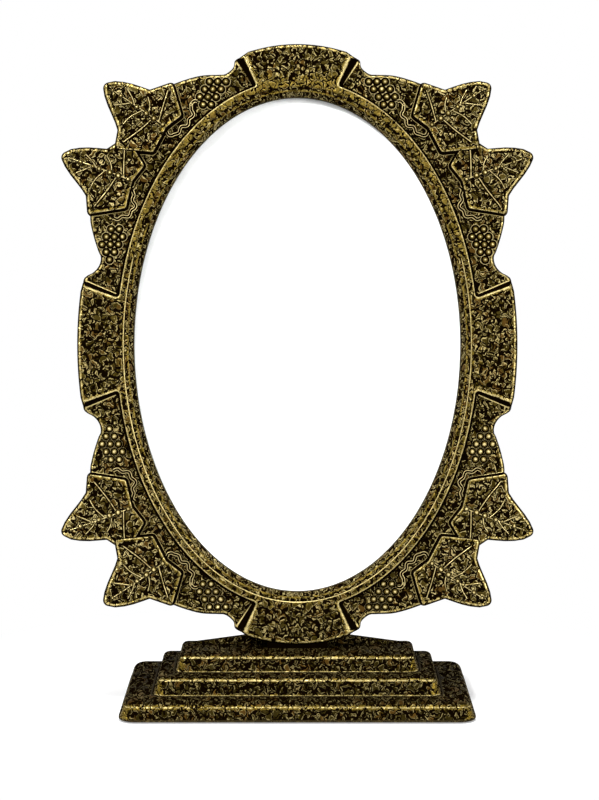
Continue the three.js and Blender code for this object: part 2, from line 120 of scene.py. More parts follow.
def oval_point(angle: float, reach: float) -> Vector:
    """Place on the rim.

    Args:
        angle: angle round the oval from the right hand side.
        reach: distance outwards from the edge of the sight opening.

    Returns:
        The point in the rim's frame, at height zero.
    """
    turn = math.radians(angle)
    return Vector((
        (SIGHT_HALF_WIDTH + reach) * math.cos(turn),
        (SIGHT_HALF_HEIGHT + reach) * math.sin(turn),
        0.0,
    ))


def oval_corner(angle: float, reach: float, radius: float = 0.0) -> Corner:
    """Corner of an outline at a place on the rim."""
    point = oval_point(angle, reach)
    return Corner(point.x, point.y, radius)


def oval_loop(reach: float, steps: int) -> list[Vector]:
    """Closed oval at one reach, anticlockwise."""
    return [oval_point(360 * step / steps, reach) for step in range(steps)]


def within_oval(point: Vector, reach: float) -> bool:
    """Tells whether a point lies inside the oval at a reach, seen from the front.

    Args:
        point: the point, in the rim's frame.
        reach: distance outwards from the edge of the sight opening.

    Returns:
        True where it lies inside.
    """
    across = point.x / (SIGHT_HALF_WIDTH + reach)
    up = point.y / (SIGHT_HALF_HEIGHT + reach)
    return across ** 2 + up ** 2 < 1


def circle(centre: Vector, radius: float, steps: int) -> list[Vector]:
    """Circle round a point, anticlockwise."""
    turns = [math.tau * step / steps for step in range(steps)]
    return [centre + radius * Vector((math.cos(turn), math.sin(turn), 0)) for turn in turns]


def raised(points: Sequence[Vector], height: float) -> list[Vector]:
    """The points moved up by a height."""
    return [point + Vector((0, 0, height)) for point in points]


def oval_arc(start: float, end: float, reach: float, steps: int) -> list[Corner]:
    """Corners along the oval from one angle to another, both ends included."""
    return [oval_corner(start + (end - start) * step / steps, reach) for step in range(steps + 1)]


def outward_turn(angle: float, reach: float) -> float:
    """Way straight outwards from the oval at a place, in radians from the x axis."""
    point = oval_point(angle, reach)
    return math.atan2(point.y / (SIGHT_HALF_HEIGHT + reach) ** 2, point.x / (SIGHT_HALF_WIDTH + reach) ** 2)


def fourfold(quarter: Sequence[Corner]) -> list[Corner]:
    """Closed outline from the corners of its upper right quarter, which start and end on the axes.

    Args:
        quarter: the quarter's corners, anticlockwise.

    Returns:
        All corners, anticlockwise.
    """
    back = list(reversed(quarter))
    return [
        *quarter,
        *[corner.flipped(-1, 1) for corner in back][1:],
        *[corner.flipped(-1, -1) for corner in quarter][1:],
        *[corner.flipped(1, -1) for corner in back][1:-1],
    ]


def edge_ways(points: Sequence[Vector]) -> list[Vector]:
    """Unit vector along each edge of a closed outline, from every point to the next."""
    return [(points[(i + 1) % len(points)] - point).normalized() for i, point in enumerate(points)]


def grown(corners: Sequence[Corner], out: float) -> list[Corner]:
    """Outline moved outwards by the same distance all round, with its rounding kept concentric.

    Args:
        corners: anticlockwise outline.
        out: distance outwards, or inwards when negative.

    Returns:
        The moved corners, as many as there were.
    """
    points = [Vector((corner.x, corner.y)) for corner in corners]
    ways = edge_ways(points)
    moved = []
    for i, corner in enumerate(corners):
        before, after = ways[i - 1], ways[i]
        normal = Vector((before.y + after.y, -before.x - after.x)) / max(1 + before.dot(after), LEAST_BEND)
        radius = corner.radius
        if radius:
            convex = before.cross(after) > 0
            radius = max(radius + (out if convex else -out), LEAST_RADIUS)
        moved.append(Corner(corner.x + out * normal.x, corner.y + out * normal.y, radius))
    return moved


def rounded(corners: Sequence[Corner], steps: int = 6) -> list[Vector]:
    """Points of an outline with its corners rounded.

    Args:
        corners: anticlockwise outline.
        steps: facets on each rounded corner.

    Returns:
        The points, at height zero. Outlines with the same corners give as many points.
    """
    points = [Vector((corner.x, corner.y)) for corner in corners]
    loop = []
    for i, corner in enumerate(corners):
        if not corner.radius:
            loop.append(points[i].to_3d())
            continue
        back = points[i - 1] - points[i]
        ahead = points[(i + 1) % len(points)] - points[i]
        turn = -(-back).angle_signed(ahead, 0.0)
        slope = math.tan(abs(turn) / 2)
        tangent = min(corner.radius * slope, EDGE_SHARE * back.length, EDGE_SHARE * ahead.length)
        radius = tangent / max(slope, FLAT)
        middle = (back.normalized() + ahead.normalized()).normalized()
        centre = points[i] + middle * (radius / math.cos(turn / 2))
        spoke = points[i] + back.normalized() * tangent - centre
        for step in range(steps + 1):
            loop.append((centre + Matrix.Rotation(turn * step / steps, 2) @ spoke).to_3d())
    return loop


def inside(point: Vector, outline: Sequence[Vector]) -> bool:
    """Tells whether a point lies inside a closed outline, seen from the front.

    Args:
        point: the point.
        outline: the outline's points.

    Returns:
        True where it lies inside.
    """
    within = False
    for a, b in zip(outline, [*outline[1:], outline[0]]):
        if (a.y > point.y) != (b.y > point.y):
            if point.x < a.x + (b.x - a.x) * (point.y - a.y) / (b.y - a.y):
                within = not within
    return within


def smooth_path(points: Sequence[Vector], steps: int) -> list[Vector]:
    """Catmull-Rom curve through points, with its two ends kept.

    Args:
        points: places that the curve goes through.
        steps: pieces between two places.

    Returns:
        The curve's points, from the first place to the last.
    """
    ends = [points[0] * 2 - points[1], *points, points[-1] * 2 - points[-2]]
    curve = []
    for a, b, c, d in zip(ends, ends[1:], ends[2:], ends[3:]):
        for step in range(steps):
            t = step / steps
            curve.append(0.5 * (
                2 * b + (c - a) * t + (2 * a - 5 * b + 4 * c - d) * t ** 2
                + (3 * b - a - 3 * c + d) * t ** 3
            ))
    return [*curve, points[-1].copy()]


@dataclass(frozen=True)
class Row:
    """One level of a plate's wall: 0 at the outline of its face and 1 at its foot, a height and a wear.

    A free level is used where the wall drops past the edge of what is underneath.
    """

    spread: float
    height: float
    wear: Wear
    free: "Row | None" = None


class Shell:
    """Closed shells of one piece, in millimetres, with a level of rubbing and painted light for each point.
    """

    def __init__(self) -> None:
        """Starts without any shell."""
        self.points: list[Vector] = []
        self.wear: list[float] = []
        self.faces: list[tuple[int, ...]] = []

    def ring(self, points: Sequence[Vector], wear: Wear | Sequence[Wear]) -> list[int]:
        """Adds the points of one ring, with one wear or one for each, and returns their numbers.

        Args:
            points: the ring's points.
            wear: one wear, or as many as points.

        Returns:
            The points' numbers in the shell.
        """
        first = len(self.points)
        self.points.extend(points)
        worn_and_lit = [wear] * len(points) if isinstance(wear, Wear) else wear
        self.wear.extend(float(one.value) for one in worn_and_lit)
        return list(range(first, len(self.points)))

    def bridge(self, low: Sequence[int], high: Sequence[int]) -> None:
        """Joins two rings that run anticlockwise about the way from low to high.

        Args:
            low: numbers of the lower ring's points.
            high: numbers of the upper ring's points, as many.
        """
        count = len(low)
        for i in range(count):
            after = (i + 1) % count
            self.faces.append((low[i], low[after], high[after], high[i]))

    def cap(self, outer: Sequence[int], hole: Sequence[int] = (), facing: int = 1) -> None:
        """Fills a ring, or the band between a ring and the hole in it.

        Args:
            outer: numbers of the outer ring's points.
            hole: numbers of the hole's points, if there is one.
            facing: 1 for a face towards the front, -1 for one towards the back.
        """
        numbers = [*outer, *hole]
        loops = [[self.points[i] for i in loop] for loop in (outer, hole) if len(loop)]
        for triangle in tessellate_polygon(loops):
            a, b, c = (numbers[i] for i in triangle)
            across = (self.points[b] - self.points[a]).cross(self.points[c] - self.points[a])
            self.faces.append((a, b, c) if across.z * facing > 0 else (a, c, b))

    def loft(self, rings: Sequence[tuple[Sequence[Vector], Wear]]) -> None:
        """Closed shell through rings of equal count, anticlockwise about their way.

        Args:
            rings: points and wear of each ring, from one end to the other.
        """
        numbers = [self.ring(points, wear) for points, wear in rings]
        for low, high in zip(numbers, numbers[1:]):
            self.bridge(low, high)
        self.faces.append(tuple(reversed(numbers[0])))
        self.faces.append(tuple(numbers[-1]))

    def plate(
        self,
        face: Sequence[Vector],
        foot: Sequence[Vector],
        rows: Sequence[Row],
        hole: Sequence[tuple[Sequence[Vector], Wear]] = (),
        carried: Callable[[Vector], bool] | None = None,
    ) -> None:
        """Closed plate whose wall spreads from the outline of its face to the outline of its foot.

        Args:
            face: outline of the face.
            foot: outline of the foot, with as many points.
            rows: levels of the wall, from the back to the front.
            hole: rings of the wall of the hole through it, from the front to the back, if it has one.
            carried: tells whether a point of the foot stands on what is underneath, or None where all do.
        """
        levels = []
        hangs = [carried is not None and not carried(point) for point in foot]
        for row in rows:
            spots = [row.free if row.free and free else row for free in hangs]
            ring = [
                near.lerp(far, spot.spread) + Vector((0, 0, spot.height))
                for near, far, spot in zip(face, foot, spots)
            ]
            levels.append(self.ring(ring, [spot.wear for spot in spots]))
        for low, high in zip(levels, levels[1:]):
            self.bridge(low, high)
        inner = [self.ring(points, wear) for points, wear in hole]
        for high, low in zip(inner, inner[1:]):
            self.bridge(high, low)
        self.cap(levels[-1], inner[0] if inner else ())
        self.cap(levels[0], inner[-1] if inner else (), facing=-1)

    def change_wear_and_light(self, old: Wear, new: Wear, where: Callable[[Vector], bool]) -> None:
        """Changes one wear to another at some of the points.

        Args:
            old: wear that is changed.
            new: wear that takes its place.
            where: tells whether a point is changed.
        """
        for number, point in enumerate(self.points):
            if self.wear[number] == old.value and where(point):
                self.wear[number] = float(new.value)

    def place(self, other: "Shell", matrix: Matrix) -> None:
        """Adds another piece's shells, moved by a matrix, which may mirror them.

        Args:
            other: the piece whose shells are added.
            matrix: from that piece's frame to this one's.
        """
        first = len(self.points)
        self.points.extend(matrix @ point for point in other.points)
        self.wear.extend(other.wear)
        mirrored = matrix.determinant() < 0
        for face in other.faces:
            moved = tuple(first + i for i in face)
            self.faces.append(tuple(reversed(moved)) if mirrored else moved)

    def mesh(self, name: str, matrix: Matrix) -> bpy.types.Mesh:
        """Finished mesh in metres.

        Args:
            name: name of the mesh.
            matrix: from the shells' frame to the row frame, in metres.

        Returns:
            The mesh, smooth but for its sharp edges, with its wear as an attribute.
        """
        made = bpy.data.meshes.new(name)
        made.from_pydata([matrix @ point for point in self.points], [], self.faces)
        carry(made, "wear", self.wear)
        return tidy_mesh(made)


def carry(mesh: bpy.types.Mesh, label: str, numbers: Sequence[float]) -> None:
    """Gives each point of a mesh its value under a name."""
    mesh.attributes.new(label, "FLOAT", "POINT").data.foreach_set("value", numbers)


def tidy_mesh(mesh: bpy.types.Mesh, sharp: float = SHARP_ANGLE) -> bpy.types.Mesh:
    """Turns a mesh's faces outwards and shades it smooth.

    Args:
        mesh: mesh of closed shells.
        sharp: angle between two faces from which their edge stays sharp.

    Returns:
        The same mesh.
    """
    work = bmesh.new()
    work.from_mesh(mesh)
    bmesh.ops.recalc_face_normals(work, faces=work.faces)
    work.to_mesh(mesh)
    work.free()
    mesh.shade_smooth()
    mesh.set_sharp_from_angle(angle=math.radians(sharp))
    mesh.update()
    return mesh


def metres() -> Matrix:
    """From the row frame in millimetres to metres."""
    return Matrix.Scale(MM, 4)


def rim_to_row() -> Matrix:
    """From the rim's frame in millimetres to the row frame in metres.

    Returns:
        The matrix, with the rim's lean and its seat on the base.
    """
    seat = Matrix.Translation((0, SEAT_BACK, SEAT_HEIGHT))
    lean = Matrix.Rotation(math.radians(-LEAN), 4, "X")
    stand = Matrix.Translation((0, 0, RIM_HALF_HEIGHT)) @ Matrix.Rotation(math.radians(90), 4, "X")
    return metres() @ seat @ lean @ stand


def quarter_mirrors() -> list[Matrix]:
    """Matrices that put a copy of one quarter's relief in each of the four quarters."""
    return [Matrix.Diagonal((sign_x, sign_y, 1, 1)) for sign_y in (1, -1) for sign_x in (1, -1)]


def add_piece(
    mesh: bpy.types.Mesh,
    material: bpy.types.Material,
    stands_for: Sequence[str],
    body: str = BODY,
) -> bpy.types.Object:
    """Puts a finished mesh in the scene as a piece of the object.

    Args:
        mesh: mesh in metres in the row frame, whose name the piece takes.
        material: the piece's material.
        stands_for: CAD nodes that the piece replaces.
        body: CAD body that it moves with.

    Returns:
        The piece.
    """
    mesh.materials.clear()
    mesh.materials.append(material)
    piece = bpy.data.objects.new(mesh.name, mesh)
    bpy.context.scene.collection.objects.link(piece)
    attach(piece, body)
    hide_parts(*stands_for)
    LOG.info("%s: %d faces on %s", piece.name, len(mesh.polygons), body)
    return piece


# Node trees


class Nodes:
    """Adds nodes to one tree and joins them."""

    def __init__(self, tree: bpy.types.NodeTree) -> None:
        """Works on a tree."""
        self.tree = tree

    def socket(self, direction: str, kind: str, name: str) -> None:
        """Adds a named input or output to the tree."""
        self.tree.interface.new_socket(name=name, in_out=direction, socket_type="NodeSocket" + kind)

    def add(self, kind: str, feeds: dict | None = None, **settings: object) -> bpy.types.Node:
        """Adds a node.

        Args:
            kind: the node's type.
            feeds: by socket name or number, an output to join to it or a value to set.
            settings: values of the node's own properties.

        Returns:
            The node.
        """
        node = self.tree.nodes.new(kind)
        for name, value in settings.items():
            setattr(node, name, value)
        self.feed(node, feeds or {})
        return node

    def feed(self, node: bpy.types.Node, feeds: dict) -> None:
        """Joins outputs to a node's inputs, or sets them.

        Args:
            node: the node.
            feeds: by socket name or number, an output to join to it or a value to set.
        """
        for key, value in feeds.items():
            if isinstance(value, bpy.types.NodeSocket):
                self.tree.links.new(value, node.inputs[key])
            else:
                node.inputs[key].default_value = value

    def math(self, operation: str, *values: object) -> bpy.types.NodeSocket:
        """Adds a math node and returns its result."""
        return self.add("ShaderNodeMath", dict(enumerate(values)), operation=operation).outputs[0]

    def ramp(
        self, value: object, low: object, high: object, to_low: object = 0, to_high: object = 1
    ) -> bpy.types.NodeSocket:
        """Smooth step of a value between two limits, from one result to another.

        Args:
            value: what is stepped.
            low: limit below which the first result holds.
            high: limit above which the second result holds.
            to_low: the first result.
            to_high: the second result.

        Returns:
            The stepped value.
        """
        feeds = {"Value": value, "From Min": low, "From Max": high, "To Min": to_low, "To Max": to_high}
        kind = "ShaderNodeMapRange"
        return self.add(kind, feeds, interpolation_type="SMOOTHSTEP").outputs["Result"]

    def noise(self, place: object, scale: float, detail: float, dimensions: str = "3D") -> bpy.types.Node:
        """Adds a noise over a place, or over its first two coordinates."""
        feeds = {"Vector": place, "Scale": scale, "Detail": detail}
        return self.add("ShaderNodeTexNoise", feeds, noise_dimensions=dimensions)

    def flat_noise(self, place: object, scale: float, detail: float) -> bpy.types.NodeSocket:
        """Noise over the first two coordinates of a place."""
        return self.noise(place, scale, detail, "2D").outputs[0]

    def flat_cells(self, place: object, feature: str = "F1") -> bpy.types.Node:
        """Adds a pattern of cells over the first two coordinates of a place."""
        feeds = {"Vector": place, "Scale": 1.0}
        return self.add("ShaderNodeTexVoronoi", feeds, voronoi_dimensions="2D", feature=feature)

    def vector(self, operation: str, *values: object) -> bpy.types.NodeSocket:
        """Adds a vector math node and returns its result."""
        return self.add("ShaderNodeVectorMath", dict(enumerate(values)), operation=operation).outputs[0]

    def scaled(self, vector: object, scale: object) -> bpy.types.NodeSocket:
        """Vector multiplied by a number."""
        feeds = {0: vector, "Scale": scale}
        return self.add("ShaderNodeVectorMath", feeds, operation="SCALE").outputs[0]

    def parts(self, vector: object) -> bpy.types.NodeOutputs:
        """The three parts of a vector."""
        return self.add("ShaderNodeSeparateXYZ", {0: vector}).outputs

    def group(self, tree: bpy.types.NodeTree, feeds: dict) -> bpy.types.NodeOutputs:
        """Adds a group and returns its outputs."""
        return self.add("ShaderNodeGroup", feeds, node_tree=tree).outputs

    def blend(self, share: object, one: object, other: object) -> bpy.types.NodeSocket:
        """Colour between two colours by a share."""
        return self.add("ShaderNodeMix", {0: share, 6: one, 7: other}, data_type="RGBA").outputs[2]

    def combine(self, x: object, y: object, z: object) -> bpy.types.NodeSocket:
        """Vector from its three parts."""
        return self.add("ShaderNodeCombineXYZ", {0: x, 1: y, 2: z}).outputs[0]


class Recipe:
    """A Geometry Nodes tree with named inputs that turns one object into a mesh."""

    def __init__(self, name: str, inputs: Sequence[tuple[str, str]]) -> None:
        """Starts the tree.

        Args:
            name: name of the tree.
            inputs: kind and name of each input after the geometry.
        """
        self.tree = bpy.data.node_groups.new(name, "GeometryNodeTree")
        self.nodes = Nodes(self.tree)
        self.nodes.socket("INPUT", "Geometry", "Geometry")
        for kind, label in inputs:
            self.nodes.socket("INPUT", kind, label)
        self.nodes.socket("OUTPUT", "Geometry", "Geometry")
        self.given = self.nodes.add("NodeGroupInput").outputs

    def end(self, geometry: bpy.types.NodeSocket) -> None:
        """Realizes the geometry, gives it its material and puts it out.

        Args:
            geometry: all that the tree makes.
        """
        real = self.nodes.add("GeometryNodeRealizeInstances", {"Geometry": geometry}).outputs[0]
        smooth = self.nodes.add("GeometryNodeSetShadeSmooth", {"Geometry": real}).outputs[0]
        feeds = {"Geometry": smooth, "Material": self.given["Material"]}
        dressed = self.nodes.add("GeometryNodeSetMaterial", feeds).outputs[0]
        self.nodes.add("NodeGroupOutput", {"Geometry": dressed})

    def store_wear_and_light(self, geometry: bpy.types.NodeSocket, value: object) -> bpy.types.NodeSocket:
        """Stores the wear of each point of the geometry.

        Args:
            geometry: what the wear goes on.
            value: the wear.

        Returns:
            The geometry with its wear.
        """
        feeds = {"Geometry": geometry, "Name": "wear", "Value": value}
        node = self.nodes.add("GeometryNodeStoreNamedAttribute", feeds, data_type="FLOAT", domain="POINT")
        return node.outputs[0]

    def read(self, name: str) -> bpy.types.NodeSocket:
        """Value that the geometry carries under a name."""
        node = self.nodes.add("GeometryNodeInputNamedAttribute", {"Name": name}, data_type="FLOAT")
        return node.outputs[0]

    def run(
        self,
        source: bpy.types.ID,
        name: str,
        matrix: Matrix,
        values: dict[str, object],
        sharp: float = SHARP_ANGLE,
    ) -> bpy.types.Mesh:
        """Runs the tree once.

        Args:
            source: mesh or curve that goes in, in millimetres.
            name: name of the finished mesh.
            matrix: from the source's frame to the row frame, in metres.
            values: by name, the tree's other inputs.
            sharp: angle from which an edge stays sharp.

        Returns:
            The finished mesh in metres.
        """
        carrier = helper_object(source)
        modifier = carrier.modifiers.new(self.tree.name, "NODES")
        modifier.node_group = self.tree
        for item in self.tree.interface.items_tree:
            if item.in_out == "INPUT" and item.name in values:
                modifier[item.identifier] = values[item.name]
        ready = carrier.evaluated_get(bpy.context.evaluated_depsgraph_get())
        made = bpy.data.meshes.new_from_object(ready)
        carrier.modifiers.remove(modifier)
        bpy.data.objects.remove(carrier)
        made.name = name
        made.transform(matrix)
        return tidy_mesh(made, sharp)


def helper_object(data: bpy.types.ID) -> bpy.types.Object:
    """Object that only carries data into a tree.

    Args:
        data: mesh or curve that it carries.

    Returns:
        The object, linked to the scene.
    """
    helper = bpy.data.objects.new(data.name + "_helper", data)
    bpy.context.scene.collection.objects.link(helper)
    return helper


def point_cloud(name: str, points: Sequence[Vector], **values: Sequence[float]) -> bpy.types.Mesh:
    """Mesh of bare points in millimetres that carry named values.

    Args:
        name: name of the mesh.
        points: the points.
        values: by name, a number for each point.

    Returns:
        The mesh.
    """
    made = bpy.data.meshes.new(name)
    made.from_pydata(points, [], [])
    for label, numbers in values.items():
        carry(made, label, numbers)
    return made


def sweep_recipe() -> Recipe:
    """Tree that sweeps a closed section round the oval.

    The section is a mesh of points, with reach as x, height as y and a wear.

    Returns:
        The recipe, with the oval's half sizes and the steps round it as inputs.
    """
    recipe = Recipe("oval_sweep", [
        ("Float", "Half Width"), ("Float", "Half Height"), ("Int", "Steps"), ("Material", "Material"),
    ])
    nodes, given = recipe.nodes, recipe.given
    section = given["Geometry"]
    position = nodes.add("GeometryNodeInputPosition").outputs[0]
    size = nodes.add("GeometryNodeAttributeDomainSize", {"Geometry": section}).outputs["Point Count"]
    grid = nodes.add("GeometryNodeMeshGrid", {
        "Size X": 1.0,
        "Size Y": 1.0,
        "Vertices X": nodes.math("ADD", given["Steps"], 1),
        "Vertices Y": nodes.math("ADD", size, 1),
    }).outputs[0]
    around, along = (nodes.math("ADD", part, 0.5) for part in nodes.parts(position)[:2])
    turn = nodes.math("MULTIPLY", around, math.tau)
    row = nodes.math("MODULO", nodes.math("ROUND", nodes.math("MULTIPLY", along, size)), size)
    spot, worn_and_lit = (
        nodes.add(
            "GeometryNodeSampleIndex", {"Geometry": section, "Value": value, "Index": row},
            data_type=kind, domain="POINT",
        ).outputs[0]
        for value, kind in ((position, "FLOAT_VECTOR"), (recipe.read("wear"), "FLOAT"))
    )
    reach, height, _ = nodes.parts(spot)
    across, up = (
        nodes.math("MULTIPLY", nodes.math("ADD", given[half], reach), nodes.math(wave, turn))
        for half, wave in (("Half Width", "COSINE"), ("Half Height", "SINE"))
    )
    swept = nodes.add("GeometryNodeSetPosition", {
        "Geometry": recipe.store_wear_and_light(grid, worn_and_lit), "Position": nodes.combine(across, up, height),
    }).outputs[0]
    feeds = {"Geometry": swept, "Distance": TOUCHING}
    recipe.end(nodes.add("GeometryNodeMergeByDistance", feeds).outputs[0])
    return recipe


def ridge_recipe() -> Recipe:
    """Tree that lays a raised ridge of one width along each curve.

    The ridge's section is a closed ring of edges with a wear for each point.

    Returns:
        The recipe, with the section's object as an input.
    """
    recipe = Recipe("relief_ridge", [("Object", "Section"), ("Material", "Material")])
    nodes, given = recipe.nodes, recipe.given
    section = nodes.add("GeometryNodeObjectInfo", {"Object": given["Section"]}).outputs["Geometry"]
    outline = nodes.add("GeometryNodeMeshToCurve", {"Mesh": section}).outputs[0]
    upright = nodes.add("GeometryNodeSetCurveNormal", {"Curve": given["Geometry"]}, mode="Z_UP").outputs[0]
    swept = nodes.add("GeometryNodeCurveToMesh", {
        "Curve": upright, "Profile Curve": outline, "Fill Caps": True,
    }).outputs[0]
    recipe.end(swept)
    return recipe


# A bead in its own radii: where the painted highlight on its crest starts, how softly its black ends, the
# black pool round it and its painted rim of light, with the facets of the rim's wire
HIGHLIGHT_START = 0.92
BLACK_BLEND = 0.3
POOL_DEPTH = 0.5
POOL_LIFT = 0.02
RIM_LIFT = 0.16
WIRE_FACETS = 8


def bead_recipe() -> Recipe:
    """Tree that sets a bead on each point, as large as the point's radius, with a painted highlight on its
    crest, a black pool under it and a painted rim of light round it.

    Returns:
        The recipe, with the facets, the rim's reach and thickness in bead radii, the height up to which the
        bead is black and its wear above it as inputs.
    """
    recipe = Recipe("relief_beads", [
        ("Int", "Facets"), ("Float", "Rim Reach"), ("Float", "Rim Thickness"), ("Float", "Black Height"),
        ("Float", "Ball Wear"), ("Material", "Material"),
    ])
    nodes, given = recipe.nodes, recipe.given
    facets, reach, thickness, black = (
        given[label] for label in ("Facets", "Rim Reach", "Rim Thickness", "Black Height")
    )
    half = nodes.math("MULTIPLY", facets, 0.5)
    ball = nodes.add("GeometryNodeMeshUVSphere", {"Segments": facets, "Rings": half, "Radius": 1.0})
    height = nodes.parts(nodes.add("GeometryNodeInputPosition").outputs[0])[2]
    # Painted highlight on the bead's crest.
    crest = nodes.ramp(height, HIGHLIGHT_START, 1.0, 0.0, Wear.GLINT.value - Wear.RUBBED.value)
    clear = nodes.math("ADD", black, BLACK_BLEND)
    worn_and_lit = nodes.math("ADD", crest, nodes.ramp(height, black, clear, 0.0, given["Ball Wear"]))
    inner = nodes.math("SUBTRACT", reach, thickness)
    pool = nodes.add("GeometryNodeMeshCylinder", {"Vertices": facets, "Radius": inner, "Depth": POOL_DEPTH})
    ring, wire = (
        nodes.add("GeometryNodeCurvePrimitiveCircle", {"Resolution": steps, "Radius": radius}).outputs[0]
        for steps, radius in ((facets, reach), (WIRE_FACETS, thickness))
    )
    rim = nodes.add("GeometryNodeCurveToMesh", {"Curve": ring, "Profile Curve": wire})
    joint = nodes.add("GeometryNodeJoinGeometry")
    for part, lift, wear in (
        (ball, 0.0, worn_and_lit),
        (pool, POOL_LIFT, Wear.BLACKENED.value),
        (rim, RIM_LIFT, Wear.GLINT.value),
    ):
        feeds = {"Geometry": part.outputs[0], "Translation": (0.0, 0.0, lift)}
        lifted = nodes.add("GeometryNodeTransform", feeds).outputs[0]
        nodes.tree.links.new(recipe.store_wear_and_light(lifted, wear), joint.inputs[0])
    radius = recipe.read("radius")
    placed = nodes.add("GeometryNodeInstanceOnPoints", {
        "Points": given["Geometry"],
        "Instance": joint.outputs[0],
        "Scale": nodes.combine(radius, radius, radius),
    }).outputs[0]
    recipe.end(placed)
    return recipe


def copies_recipe() -> Recipe:
    """Tree that sets a copy of one shape on each point, turned by the point's own angle.

    Returns:
        The recipe, with the shape's object as an input.
    """
    recipe = Recipe("turned_copies", [("Object", "Shape"), ("Material", "Material")])
    nodes, given = recipe.nodes, recipe.given
    shape = nodes.add("GeometryNodeObjectInfo", {"Object": given["Shape"]}).outputs["Geometry"]
    placed = nodes.add("GeometryNodeInstanceOnPoints", {
        "Points": given["Geometry"],
        "Instance": shape,
        "Rotation": nodes.combine(0.0, 0.0, recipe.read("turn")),
    }).outputs[0]
    recipe.end(placed)
    return recipe


# Finishes


def shader_group(
    name: str, inputs: Sequence[tuple[str, str]], outputs: Sequence[tuple[str, str]]
) -> tuple[Nodes, bpy.types.NodeOutputs]:
    """Starts a shader group.

    Args:
        name: name of the group.
        inputs: kind and name of each input.
        outputs: kind and name of each output.

    Returns:
        The nodes of the new group and what the group is given.
    """
    nodes = Nodes(bpy.data.node_groups.new(name, "ShaderNodeTree"))
    for direction, sockets in (("INPUT", inputs), ("OUTPUT", outputs)):
        for kind, label in sockets:
            nodes.socket(direction, kind, label)
    return nodes, nodes.add("NodeGroupInput").outputs


@dataclass(frozen=True)
class VeinNet:
    """Net of veins in its own turn, shift and stretch, with the size of the patches where it fades."""

    turn: float
    shift: float
    stretch: Triple
    fading_scale: float


@dataclass(frozen=True)
class HammeredVein:
    """Raised shards parted by crossing nets of veins. Pairs are the two ends of a smooth step."""

    nets: tuple[VeinNet, ...] = (
        VeinNet(-0.9, 0.0, (1.3, 0.78, 1.0), 1.4),
        VeinNet(0.7, 5.3, (0.74, 1.25, 1.0), 1.0),
    )
    drift_scale: float = 1.15
    patch_scale: float = 1.0
    patch: Pair = (0.3, 0.7)
    patch_gap: Pair = (0.9, 1.12)
    fading: Pair = (0.55, 0.65)
    fading_gap: float = 0.05
    island_edge: Pair = (0.8, 1.15)
    highlight_edge: Pair = (1.2, 1.8)
    highlight_scale: float = 1.6
    highlight_patch: Pair = (0.42, 0.56)
    copper: Pair = (0.66, 0.8)
    raised_reach: float = 3.2
    fine_scale: float = 5.0
    fine_share: float = 0.15

    def tree(self) -> bpy.types.NodeTree:
        """Builds the group.

        Returns:
            The group, with a place in metres, a cell size in millimetres, a vein width and a warp as inputs
            and the island mask, the pale rims that paint highlights along the islands' edges, a random
            shade per cell, and the copper and height masks as outputs.
        """
        nodes, given = shader_group(
            "hammered_vein",
            (("Vector", "Place"), ("Float", "Cell Size"), ("Float", "Vein Width"), ("Float", "Warp")),
            [("Float", label) for label in ("Island", "Rim", "Shade", "Copper", "Height")],
        )
        place = nodes.scaled(given["Place"], nodes.math("DIVIDE", 1 / MM, given["Cell Size"]))
        drift = nodes.noise(place, self.drift_scale, 1.0, "2D").outputs["Color"]
        centred = nodes.vector("SUBTRACT", drift, (0.5, 0.5, 0.5))
        bent = nodes.vector("ADD", place, nodes.scaled(centred, given["Warp"]))
        patch = nodes.ramp(nodes.flat_noise(place, self.patch_scale, 0.0), *self.patch, *self.patch_gap)
        gap = nodes.math("MULTIPLY", given["Vein Width"], patch)
        reach = nodes.math("MINIMUM", *(self.net(nodes, net, place, bent) for net in self.nets))
        island = nodes.ramp(reach, *(nodes.math("MULTIPLY", gap, edge) for edge in self.island_edge))
        outer = nodes.ramp(reach, *(nodes.math("MULTIPLY", gap, edge) for edge in self.highlight_edge), 1, 0)
        lit = nodes.ramp(nodes.flat_noise(bent, self.highlight_scale, 1.0), *self.highlight_patch)
        # Painted highlight: pale rims along the veins, on the islands that the lit noise picks.
        rim = nodes.math("MULTIPLY", nodes.math("MULTIPLY", outer, island), lit)
        raised_edge = nodes.ramp(reach, 0.0, nodes.math("MULTIPLY", gap, self.raised_reach))
        fine = nodes.math("MULTIPLY", nodes.flat_noise(place, self.fine_scale, 3.0), self.fine_share)
        tone = nodes.add("ShaderNodeSeparateColor", {0: nodes.flat_cells(bent).outputs["Color"]}).outputs
        nodes.add("NodeGroupOutput", {
            "Island": island,
            "Rim": rim,
            "Shade": tone[0],
            "Copper": nodes.ramp(tone[1], *self.copper),
            "Height": nodes.math("ADD", raised_edge, fine),
        })
        return nodes.tree

    def net(self, nodes: Nodes, net: VeinNet, place: object, bent: object) -> bpy.types.NodeSocket:
        """Distance from the veins of one net, larger where the net fades.

        Args:
            nodes: tree of the group.
            net: the net.
            place: flat place in cells.
            bent: the same place, drifted.

        Returns:
            The distance in cells.
        """
        turned = nodes.add("ShaderNodeMapping", {
            "Vector": bent,
            "Location": (net.shift, net.shift, 0.0),
            "Rotation": (0.0, 0.0, net.turn),
            "Scale": net.stretch,
        }).outputs[0]
        edge = nodes.flat_cells(turned, "DISTANCE_TO_EDGE").outputs["Distance"]
        fading = nodes.flat_noise(place, net.fading_scale, 0.0)
        return nodes.math("ADD", edge, nodes.ramp(fading, *self.fading, 0.0, self.fading_gap))


